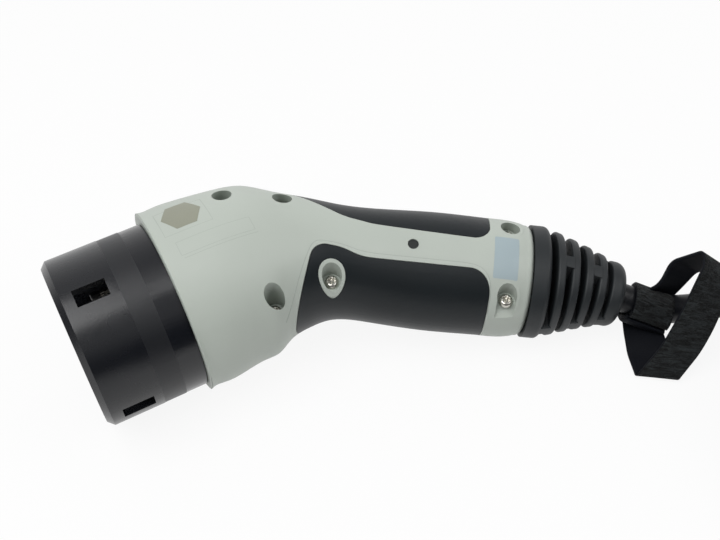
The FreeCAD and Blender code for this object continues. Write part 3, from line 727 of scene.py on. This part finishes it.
class DressHousing(bpy.types.Operator):
    """Finishes the two pale shells, the soft grips and the round insert"""

    bl_idname = "charging_plug.housing"
    bl_label = "Housing"

    def execute(self, context):
        colours = context.scene.plug_mouldings
        pale = moulded_plastic("pale_plastic", colours.housing, 0.46, 0.0006, 0.00003, 0.02)
        for node in ("near_shell", "far_shell"):
            shell = smooth_copy(node, pale, "pale_housing", 24.0)
            for vert in shell.data.vertices:
                if vert.co.x < (SHELL_START + SHELL_RIM) * MM:
                    vert.co.x += SHELL_GAP * MM
        soft = moulded_plastic(
            "grip_plastic", colours.grip, 0.42, 0.0003, 0.00002, 0.06, mirror=0.28
        )
        for node in ("near_lower_grip", "near_upper_grip", "far_lower_grip", "far_upper_grip"):
            smooth_copy(node, soft, "soft_grip", 30.0)
        dark = moulded_plastic("insert_plastic", colours.insert, 0.4, 0.0003, 0.00002)
        smooth_copy("round_insert", dark, "insert")
        return {"FINISHED"}


# The shell screws: station, offset from the centreline and height of the seat.
SCREWS = (
    (31.0, 21.4, 8.0),
    (50.7, 17.0, 8.0),
    (39.3, -25.0, 8.0),
    (68.7, -16.3, 12.5),
    (139.3, -17.0, 12.5),
    (139.3, 12.0, 12.5),
)
SCREW_BITE = 9.0
SCREW_TIP = 0.6
SHANK_RADIUS = 1.48
SCREW_SEGMENTS = 48
LOBES = 6


def star_screw(bm, settings, shank, where):
    """Adds a pan-head screw with a six-lobe recess and a pin, its seat at the origin."""
    head = settings.head / MM
    tall = settings.height / MM
    star = settings.recess / MM
    rings = [
        (star * 0.97, tall * 0.30, 0.16),
        (star, tall * 0.96, 0.16),
        (star * 1.12, tall * 1.00, 0.13),
        (head * 0.68, tall * 0.97, 0.0),
        (head * 0.86, tall * 0.84, 0.0),
        (head * 0.96, tall * 0.62, 0.0),
        (head, tall * 0.32, 0.0),
        (head, 0.0, 0.0),
        (SHANK_RADIUS, 0.0, 0.0),
        (SHANK_RADIUS, -shank, 0.0),
        (SHANK_RADIUS * 0.4, -shank - SCREW_TIP, 0.0),
    ]
    made = bmesh.ops.create_circle(bm, segments=SCREW_SEGMENTS, radius=1.0, cap_ends=True)
    verts = made["verts"]
    edges = list(verts[0].link_faces[0].edges)
    everything = list(verts)
    for number, (radius, height, depth) in enumerate(rings):
        if number:
            grown = bmesh.ops.extrude_edge_only(bm, edges=edges)["geom"]
            verts = [item for item in grown if isinstance(item, bmesh.types.BMVert)]
            edges = [
                item
                for item in grown
                if isinstance(item, bmesh.types.BMEdge)
                and all(vert in verts for vert in item.verts)
            ]
            everything += verts
        for vert in verts:
            angle = math.atan2(vert.co.y, vert.co.x)
            reach = radius * (1 + depth * math.cos(LOBES * angle))
            vert.co = (reach * math.cos(angle), reach * math.sin(angle), height)
    bmesh.ops.holes_fill(bm, edges=edges, sides=SCREW_SEGMENTS)
    radius = settings.pin / MM
    rod = bmesh.ops.create_cone(
        bm,
        cap_ends=True,
        segments=20,
        radius1=radius,
        radius2=radius * 0.8,
        depth=tall * 0.55,
        matrix=Matrix.Translation((0, 0, tall * (0.30 + 0.275))),
    )["verts"]
    everything += rod
    bmesh.ops.transform(bm, matrix=where, verts=everything)


class BuildScrews(bpy.types.Operator):
    """Makes the star-recess screws in their recesses, and the clamp's screws"""

    bl_idname = "charging_plug.screws"
    bl_label = "Screws"

    def execute(self, context):
        settings = context.scene.plug_screws
        steel = metal("screw_steel", settings.metal, 0.22)
        bm = bmesh.new()
        for number, (station, offset, seat) in enumerate(SCREWS):
            place = Vector(handle_point(station, offset, seat)) * MM
            turn = Matrix.Rotation(math.radians(17 + 40 * number), 4, "Z")
            where = LYING @ Matrix.Translation(place) @ turn @ Matrix.Scale(MM, 4)
            star_screw(bm, settings, seat + SCREW_BITE - SCREW_TIP - 0.2, where)
        bmesh.ops.recalc_face_normals(bm, faces=bm.faces)
        mark_sharp(bm, math.radians(35))
        screws = new_piece("housing_screws", bm, steel, slot="steel")
        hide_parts("shell_screws")
        smooth_copy("clamp_screws", steel, "steel")
        return {"FINISHED"}


class DressBoot(bpy.types.Operator):
    """Finishes the slotted bend relief"""

    bl_idname = "charging_plug.boot"
    bl_label = "Bend relief"

    def execute(self, context):
        dark = rubber("boot_rubber", context.scene.plug_mouldings.boot, 0.52, 0.0004, 0.00002)
        smooth_copy("cable_boot", dark, "boot_rubber", 40.0)
        smooth_copy("connector_boot", dark, "boot_rubber", 40.0)
        return {"FINISHED"}


class DressWiring(bpy.types.Operator):
    """Finishes the conductors, the coding resistor and the clamp inside the handle"""

    bl_idname = "charging_plug.wiring"
    bl_label = "Wiring"

    INSULATION = {
        "conductor_earth": (120, 150, 50),
        "conductor_line_1": (92, 62, 44),
        "conductor_line_2": (34, 34, 36),
        "conductor_line_3": (120, 122, 124),
        "conductor_neutral": (52, 92, 150),
        "conductor_control_pilot": (196, 196, 190),
    }

    def execute(self, context):
        for node, colour in self.INSULATION.items():
            tint = [c / 255 for c in colour]
            skin = moulded_plastic(node + "_skin", tint, 0.42, 0.0006, 0.00002)
            smooth_copy(node, skin, "insulation")
        body = moulded_plastic("resistor_body", (0.75, 0.68, 0.52), 0.4, 0.0003, 0.00001)
        smooth_copy("coding_resistor", body, "resistor")
        bar = moulded_plastic(
            "clamp_plastic", context.scene.plug_metals.clamp, 0.5, 0.0005, 0.00003
        )
        smooth_copy("cable_clamp", bar, "clamp_plastic")
        return {"FINISHED"}


# ------------------------------------------------------------------ markings
# Centre and side of the hexagon, and corners of the thin outlines, on the upright plug.
HEXAGON = (56.2, 18.0, 8.2)
SQUARE = ((46.5, 9.0), (66.0, 9.0), (66.0, 23.4), (46.5, 23.4))
PANEL = ((49.0, -1.3), (79.0, -1.3), (79.0, 4.9), (49.0, 4.9))
PANEL_FOOT = ((49.6, -2.6), (79.6, -2.6))
# The label, as stations and offsets on the handle.
LABEL = (132.7, 142.5, -11.9, 5.5)
WELL_ABOVE = 80.0
# The line that follows the lower grip's edge on the pale shell.
GRIP_LINE = (
    (43.4, -31.2),
    (47.6, -27.0),
    (54.6, -15.5),
    (59.2, -7.0),
    (62.0, -4.6),
    (67.0, -4.6),
    (73.0, -5.2),
    (81.0, -7.1),
    (95.0, -7.1),
    (112.0, -7.1),
    (126.0, -7.1),
    (131.0, -10.5),
    (132.8, -16.0),
    (132.6, -22.0),
)


class LayMarkings(bpy.types.Operator):
    """Lays the bare label, the hexagon and the thin outlines on the near shell"""

    bl_idname = "charging_plug.markings"
    bl_label = "Markings"

    def execute(self, context):
        self.find_surface()
        colours = context.scene.plug_mouldings
        film = moulded_plastic("label_film", colours.label, 0.33, 0.0012, 0.00001, 0.01)
        ink = moulded_plastic("hexagon_ink", colours.hexagon, 0.5, 0.0007, 0.00003, 0.03)
        # Painted shade: the thin outlines and the grip line are beads coloured darker than the
        # housing, standing for shade in grooves and steps.
        line = moulded_plastic("outline_plastic", colours.outline, 0.55, 0.0006, 0.00002, 0.02)
        self.lay_label(colours, film)
        self.lay_hexagon(ink)
        width = colours.line
        for name, corners, closed in (
            ("square_outline", SQUARE, True),
            ("panel_outline", PANEL, True),
            ("panel_foot_line", PANEL_FOOT, False),
        ):
            self.lay_line(name, corners, closed, width, line)
        route = [handle_point(*corner)[:2] for corner in GRIP_LINE]
        self.lay_line("grip_line", route, False, width * 1.3, line, order=3)
        return {"FINISHED"}

    def find_surface(self):
        """The near side's outside, on which the markings are laid."""
        bm = bmesh.new()
        for node in ("near_shell", "near_lower_grip", "near_upper_grip"):
            bm.from_mesh(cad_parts[node].data)
        self.surface = BVHTree.FromBMesh(bm)
        bm.free()
        self.down = LYING.to_3x3() @ Vector((0, 0, -1))

    def on_shell(self, x, y, lift):
        """The point of the shell's outside over a place of the upright plug, lifted."""
        above = plug_point(x, y, WELL_ABOVE)
        hit = self.surface.ray_cast(above, self.down)
        if hit[0] is None:
            raise RuntimeError(f"no shell under {x:.1f}, {y:.1f}")
        return hit[0] - self.down * lift

    def plate(self, name, bm, middle, turn, thickness, material):
        """Drops a flat shape on the shell and gives it a thickness."""
        bmesh.ops.triangulate(bm, faces=[face for face in bm.faces if len(face.verts) > 4])
        cos, sin = math.cos(turn), math.sin(turn)
        for vert in bm.verts:
            x = middle[0] + vert.co.x * cos - vert.co.y * sin
            y = middle[1] + vert.co.x * sin + vert.co.y * cos
            vert.co = self.on_shell(x, y, thickness)
        bmesh.ops.recalc_face_normals(bm, faces=bm.faces)
        if sum((face.normal for face in bm.faces), Vector()).dot(self.down) > 0:
            bmesh.ops.reverse_faces(bm, faces=bm.faces)
        bmesh.ops.solidify(bm, geom=list(bm.faces), thickness=thickness * 1.5)
        mark_sharp(bm, math.radians(50))
        return new_piece(name, bm, material, slot="pale_housing")

    def lay_label(self, colours, material):
        """The bare film near the end of the handle, with its corners cut."""
        first, last, low, high = LABEL
        corner = colours.label_corner / MM
        bm = bmesh.new()
        bmesh.ops.create_grid(bm, x_segments=14, y_segments=24, size=0.5)
        long, wide = last - first, high - low
        bmesh.ops.scale(bm, verts=bm.verts, vec=(long, wide, 1.0))
        for along in (-1, 1):
            for across in (-1, 1):
                place = (along * (long / 2 - corner), across * wide / 2, 0)
                cut_off(bm, place, (along, across, 0))
        middle = handle_point((first + last) / 2, (low + high) / 2)
        self.plate("bare_label", bm, middle, -BEND_ANGLE, 0.0001, material)

    def lay_hexagon(self, material):
        """The bare hexagon near the front edge of the shell."""
        x, y, side = HEXAGON
        bm = bmesh.new()
        bmesh.ops.create_grid(bm, x_segments=24, y_segments=24, size=side)
        reach = side * math.sin(math.radians(60))
        for k in range(6):
            angle = math.radians(30 + 60 * k)
            away = Vector((math.cos(angle), math.sin(angle), 0))
            cut_off(bm, away * reach, away)
        self.plate("hexagon_mark", bm, (x, y), 0.0, 0.00006, material)

    def lay_line(self, name, corners, closed, width, material, order=2):
        """A thin bead that follows the shell's surface."""
        path = bpy.data.curves.new(name, "CURVE")
        path.dimensions = "3D"
        spline = add_spline(path, "NURBS", [(x, y, 0) for x, y in corners])
        spline.order_u = order
        spline.use_endpoint_u = not closed
        spline.use_cyclic_u = closed
        spline.resolution_u = 24
        flat = mesh_of(path)
        lift = -0.8 * width
        places = [self.on_shell(vert.co.x, vert.co.y, lift) for vert in flat.vertices]
        bpy.data.meshes.remove(flat)
        bead = bpy.data.curves.new(name, "CURVE")
        bead.dimensions = "3D"
        bead.bevel_depth = width
        bead.bevel_resolution = 2
        add_spline(bead, "POLY", places).use_cyclic_u = closed
        mesh = mesh_of(bead)
        bm = bmesh.new()
        bm.from_mesh(mesh)
        bpy.data.meshes.remove(mesh)
        return new_piece(name, bm, material, slot="pale_housing")


# ------------------------------------------------------------------ cable
# Where the cable leaves the bend relief, and its route over the floor: X, Y and the height
# of the cable's centre above the floor.
CABLE_EXIT = (208.027, -73.660, -20.169)
LEAD_IN = (
    (220.5, -83.6, 10.2),
    (238.0, -90.6, 7.6),
    (261.0, -95.2, 6.0),
    (282.0, -96.0, 6.0),
    (304.0, -95.4, 6.0),
)
LEAD_OUT = (
    (284.0, -256.1, 42.0),
    (262.0, -252.6, 39.0),
    (238.0, -248.8, 31.0),
    (216.5, -245.4, 23.2),
)
CONNECTOR_ENTRY = ((195.873, -242.130, -18.997), (151.532, -235.107, -12.946))
COIL_CENTRE = (304.0, -180.0)
COIL_INNER = 60.0
COIL_OUTER = 84.0
COIL_LAYERS = 4
COIL_TURNS = 2
COIL_RISE = 1 / 3
COIL_END = 8 + 189 / 360


def cable_radius():
    """Half the cable's diameter, in metres."""
    return bpy.context.scene.plug_cable.diameter / 2


def coil_turns(points_in_turn, diameter):
    """The wound coil: layers that spiral in and out, with a rise between two of them."""
    # The curve runs inside its points, so the points stand out by this pull.
    step = 1 / points_in_turn
    inside = 0.5 * (1 + math.cos(2 * math.pi / points_in_turn))
    pull = 0.75 + 0.25 * (2 * inside - 1)
    stages = []
    for layer in range(COIL_LAYERS):
        inward = layer % 2 == 0
        ends = (COIL_OUTER, COIL_INNER) if inward else (COIL_INNER, COIL_OUTER)
        stages.append((COIL_TURNS, *ends, layer, layer))
        if layer < COIL_LAYERS - 1:
            stages.append((COIL_RISE, ends[1], ends[1], layer, layer + 1))
    turn = step
    points = []
    while turn < COIL_END - step / 2:
        rest = turn
        for length, start, end, low, high in stages:
            if rest <= length + 1e-9:
                break
            rest -= length
        share = rest / length
        eased = share * share * (3 - 2 * share) if low != high else 0.0
        radius = (start + (end - start) * share) / pull
        angle = 2 * math.pi * turn
        x = COIL_CENTRE[0] + radius * math.sin(angle)
        y = COIL_CENTRE[1] + radius * math.cos(angle)
        points.append((x, y, (low + eased + 0.5) * diameter))
        turn += step
    return points


class BuildCable(bpy.types.Operator):
    """Runs the cable from the plug over the floor and through its coil to the connector"""

    bl_idname = "charging_plug.cable"
    bl_label = "Cable"

    def execute(self, context):
        settings = context.scene.plug_cable
        diameter = settings.diameter / MM
        over_floor = [*LEAD_IN, *coil_turns(settings.turn_points, diameter), *LEAD_OUT]
        route = [Vector(CABLE_EXIT) * MM]
        route += [Vector((x, y, z + FLOOR / MM)) * MM for x, y, z in over_floor]
        route += [Vector(point) * MM for point in CONNECTOR_ENTRY]
        data = bpy.data.curves.new("charging_cable", "CURVE")
        data.dimensions = "3D"
        data.bevel_depth = settings.diameter / 2
        data.bevel_resolution = 8
        data.resolution_u = 6
        data.use_fill_caps = True
        spline = add_spline(data, "NURBS", route)
        spline.order_u = 3
        spline.use_endpoint_u = True
        cable = bpy.data.objects.new("charging_cable", data)
        context.scene.collection.objects.link(cable)
        skin = cable_sheath("cable_sheath", settings.sheath)
        data.materials.append(skin)
        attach(cable, BODY)
        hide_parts("cable_lead", "cable_coil", "cable_tail")
        smooth_copy("cable_in_handle", skin, "cable_sheath")
        return {"FINISHED"}


# ------------------------------------------------------------------ strap
# Each edge of the strap's loop in its own plane: across and up from the fold on the floor,
# and the radius of the bend there. The fold's place, turn and lean set the planes.
NEAR_EDGE = (
    (-0.8, 0.6, 1.4),
    (11.0, 0.5, 20.0),
    (21.0, 2.6, 12.0),
    (31.5, 5.5, 5.0),
    (34.2, 13.0, 6.0),
    (29.0, 22.0, 9.0),
    (27.0, 27.0, 9.0),
    (32.3, 36.8, 6.0),
    (25.2, 52.3, 2.4),
    (19.3, 49.2, 7.0),
    (9.0, 31.5, 60.0),
    (2.4, 17.0, 40.0),
)
FAR_EDGE = (
    (-6.2, 9.6, 1.4),
    (8.6, 11.4, 30.0),
    (18.0, 11.8, 16.0),
    (30.0, 13.2, 4.0),
    (29.8, 23.0, 25.0),
    (32.3, 36.8, 6.0),
    (24.0, 49.6, 2.4),
    (17.5, 47.4, 7.0),
    (6.0, 36.6, 60.0),
    (-1.2, 24.0, 40.0),
)
STRAP_FOLD = (198.2, -101.6)
STRAP_TURN = math.radians(-20.0)
STRAP_LEAN = math.radians(35.0)
FAR_EDGE_REACH = 11.8
FAR_EDGE_SPREAD = 0.08
LOOP_STEPS = 260
# The turns round the cable: how many, how far they sag, their place between the cable's
# first two points, and how much of the strap's thickness its wall takes.
WRAP_TURNS = 2.15
WRAP_RISE = -0.9
WRAP_SHARE = 0.8
WALL_SHARE = 0.86


def cloth(name, kind, bm, thickness, rim):
    """A piece of hook-and-loop strap: a sheet given its two faces and its thickness."""
    settings = bpy.context.scene.plug_strap
    pile = strap_pile_with_painted_shade(kind + "_pile", settings.pile)
    back = strap_back(kind + "_back", settings.back)
    piece = new_piece(name, bm, pile, back, slot="strap_fabric")
    wall = piece.modifiers.new("Thickness", "SOLIDIFY")
    wall.thickness = thickness
    wall.offset = 0.0
    wall.material_offset = 1
    wall.material_offset_rim = rim
    return piece


class BuildStrap(bpy.types.Operator):
    """Makes the hook-and-loop strap: an open loop and the turns that hold it on the cable"""

    bl_idname = "charging_plug.strap"
    bl_label = "Strap"

    def execute(self, context):
        settings = context.scene.plug_strap
        thick = settings.thickness
        bm = bmesh.new()
        loop_area, loop_length = self.add_loop(bm, thick)
        wrap_length = self.add_wrap(bm, settings.width, thick, loop_length)
        strap = cloth("cable_strap_cloth", "strap", bm, thick * WALL_SHARE, 1)
        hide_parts("cable_strap")
        area = loop_area + wrap_length * settings.width
        long = loop_length + wrap_length
        min(area, settings.width * long)
        return {"FINISHED"}

    def edge(self, corners, reach, spread, height):
        """Even points along one edge of the loop, in the plane that leans over the fold."""
        flat = Vector((math.cos(STRAP_TURN), math.sin(STRAP_TURN), 0))
        across = Vector((-math.sin(STRAP_TURN), math.cos(STRAP_TURN), 0))
        rise = Vector((0, 0, math.cos(STRAP_LEAN))) + flat * math.sin(STRAP_LEAN)
        wide = flat * math.cos(STRAP_LEAN) - Vector((0, 0, math.sin(STRAP_LEAN)))
        fold = Vector((*STRAP_FOLD, FLOOR / MM + height)) + wide * reach
        rise = rise + wide * spread
        ring = [fold + across * p.x + rise * p.y for p in rounded_loop(corners)]
        points, total = evenly(ring, LOOP_STEPS)
        return [point * MM for point in points], total * MM

    def add_loop(self, bm, thick):
        """The open loop between its two edges. Gives its area and length."""
        height = thick / MM / 2
        near, near_length = self.edge(NEAR_EDGE, 0.0, 0.0, height)
        far, far_length = self.edge(FAR_EDGE, FAR_EDGE_REACH, FAR_EDGE_SPREAD, height)
        wide = sum((a - b).length for a, b in zip(near, far)) / LOOP_STEPS
        long = (near_length + far_length) / 2

        def place(u, v):
            k = round(u * LOOP_STEPS) % LOOP_STEPS
            return near[k].lerp(far[k], v)

        sheet = bent_sheet(bm, LOOP_STEPS, 14, (long, wide), place)
        bmesh.ops.remove_doubles(bm, verts=sheet, dist=1e-6)
        return long * wide, long

    def add_wrap(self, bm, width, thick, start):
        """The turns round the cable, whose length along the strap follows the loop's."""
        first = Vector(CABLE_EXIT) * MM
        x, y, z = LEAD_IN[0]
        middle = Vector((x, y, z + FLOOR / MM)) * MM
        way = (middle - first).normalized()
        side = way.cross(Vector((0, 0, 1))).normalized()
        up = side.cross(way)
        middle = first.lerp(middle, WRAP_SHARE) + Vector((0, 0, WRAP_RISE * MM))
        radius = cable_radius() + thick / 2
        wrap_length = 2 * math.pi * WRAP_TURNS * (radius + thick / 2)

        def place(u, v):
            angle = 2 * math.pi * WRAP_TURNS * u + math.radians(-60)
            out = radius + thick * WALL_SHARE * min(max(WRAP_TURNS * u - 0.5, 0.0), 1.15)
            skew = 0.0006 * math.sin(2.2 * angle)
            return middle + way * ((v - 0.5) * width + skew) + (
                side * math.cos(angle) + up * math.sin(angle)
            ) * out

        sheet = bent_sheet(bm, 150, 12, (wrap_length, width), place)
        faces = {face for vert in sheet for face in vert.link_faces}
        uv = bm.loops.layers.uv.verify()
        for face in faces:
            for loop in face.loops:
                loop[uv].uv.x += start
            away = face.calc_center_median() - middle
            away -= way * away.dot(way)
            if face.normal.dot(away) > 0:
                face.normal_flip()
        return wrap_length


TIE_ANGLE = math.radians(-60.0)
TIE_WIDTH = 16.0
TIE_STEPS = 160
TIE_WALL = 1.1
TIE_CORNER = 4.5


class BuildTie(bpy.types.Operator):
    """Wraps the tie round the coil's turns"""

    bl_idname = "charging_plug.tie"
    bl_label = "Coil tie"

    def execute(self, context):
        radius = cable_radius() / MM
        inner = COIL_INNER - radius
        outer = COIL_OUTER + radius
        tall = 2 * COIL_LAYERS * radius
        proud = 0.5
        corners = (
            (inner - proud, 0.5, TIE_CORNER),
            (outer + proud, 0.5, TIE_CORNER),
            (outer + proud, tall + proud, TIE_CORNER),
            (inner - proud, tall + proud, TIE_CORNER),
        )
        ring, total = evenly(rounded_loop(corners, 8), TIE_STEPS)
        middle = Vector((*COIL_CENTRE, FLOOR / MM))
        out = Vector((math.cos(TIE_ANGLE), math.sin(TIE_ANGLE), 0))
        aside = Vector((-out.y, out.x, 0))

        def place(u, v):
            point = ring[round(u * TIE_STEPS) % TIE_STEPS]
            over = Vector((0, 0, point.y)) + aside * (v - 0.5) * TIE_WIDTH
            return (middle + out * point.x + over) * MM

        bm = bmesh.new()
        sheet = bent_sheet(bm, TIE_STEPS, 12, (total * MM, TIE_WIDTH * MM), place)
        bmesh.ops.remove_doubles(bm, verts=sheet, dist=1e-6)
        bmesh.ops.recalc_face_normals(bm, faces=bm.faces)
        tie = cloth("coil_tie_cloth", "tie", bm, TIE_WALL * MM, 0)
        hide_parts("coil_tie")
        total * MM
        return {"FINISHED"}


class DressConnector(bpy.types.Operator):
    """Finishes the vehicle connector on the far end of the cable"""

    bl_idname = "charging_plug.connector"
    bl_label = "Connector"

    def execute(self, context):
        colours = context.scene.plug_mouldings
        black = moulded_plastic("connector_plastic", colours.shroud, 0.38, 0.0005, 0.00003)
        smooth_copy("connector_nose", black, "connector_shell")
        soft = moulded_plastic("connector_soft", colours.grip, 0.5, 0.0004, 0.00002)
        smooth_copy("connector_body", soft, "connector_shell")
        return {"FINISHED"}


# ------------------------------------------------------------------ panel and run
class PlugPanel(bpy.types.Panel):
    """Lists the steps that make the charging plug"""

    bl_idname = "VIEW3D_PT_charging_plug"
    bl_label = "Charging Plug"
    bl_space_type = "VIEW_3D"
    bl_region_type = "UI"
    bl_category = "Charging Plug"

    def draw(self, context):
        for group in SETTINGS:
            box = self.layout.box()
            settings = getattr(context.scene, group)
            for name in settings.bl_rna.properties.keys():
                if name not in ("rna_type", "name"):
                    box.prop(settings, name)
        for step in STEPS:
            self.layout.operator(step.bl_idname)


SETTINGS = {
    "plug_stage": StageSettings,
    "plug_mouldings": MouldingSettings,
    "plug_screws": ScrewSettings,
    "plug_cable": CableSettings,
    "plug_strap": StrapSettings,
    "plug_metals": MetalSettings,
}
STEPS = (
    BuildStage,
    DressShroud,
    DressContacts,
    DressHousing,
    BuildScrews,
    LayMarkings,
    DressBoot,
    DressWiring,
    DressConnector,
    BuildCable,
    BuildStrap,
    BuildTie,
)


def register():
    for kind in (*SETTINGS.values(), *STEPS, PlugPanel):
        bpy.utils.register_class(kind)
    for name, kind in SETTINGS.items():
        setattr(bpy.types.Scene, name, PointerProperty(type=kind))


def unregister():
    for name in SETTINGS:
        delattr(bpy.types.Scene, name)
    for kind in (PlugPanel, *reversed(STEPS), *reversed(list(SETTINGS.values()))):
        bpy.utils.unregister_class(kind)


def main():
    register()
    bpy.ops.charging_plug.stage()
    bpy.ops.charging_plug.shroud()
    bpy.ops.charging_plug.contacts()
    bpy.ops.charging_plug.housing()
    bpy.ops.charging_plug.screws()
    bpy.ops.charging_plug.markings()
    bpy.ops.charging_plug.boot()
    bpy.ops.charging_plug.wiring()
    bpy.ops.charging_plug.connector()
    bpy.ops.charging_plug.cable()
    bpy.ops.charging_plug.strap()
    bpy.ops.charging_plug.tie()


if __name__ == "__main__":
    main()
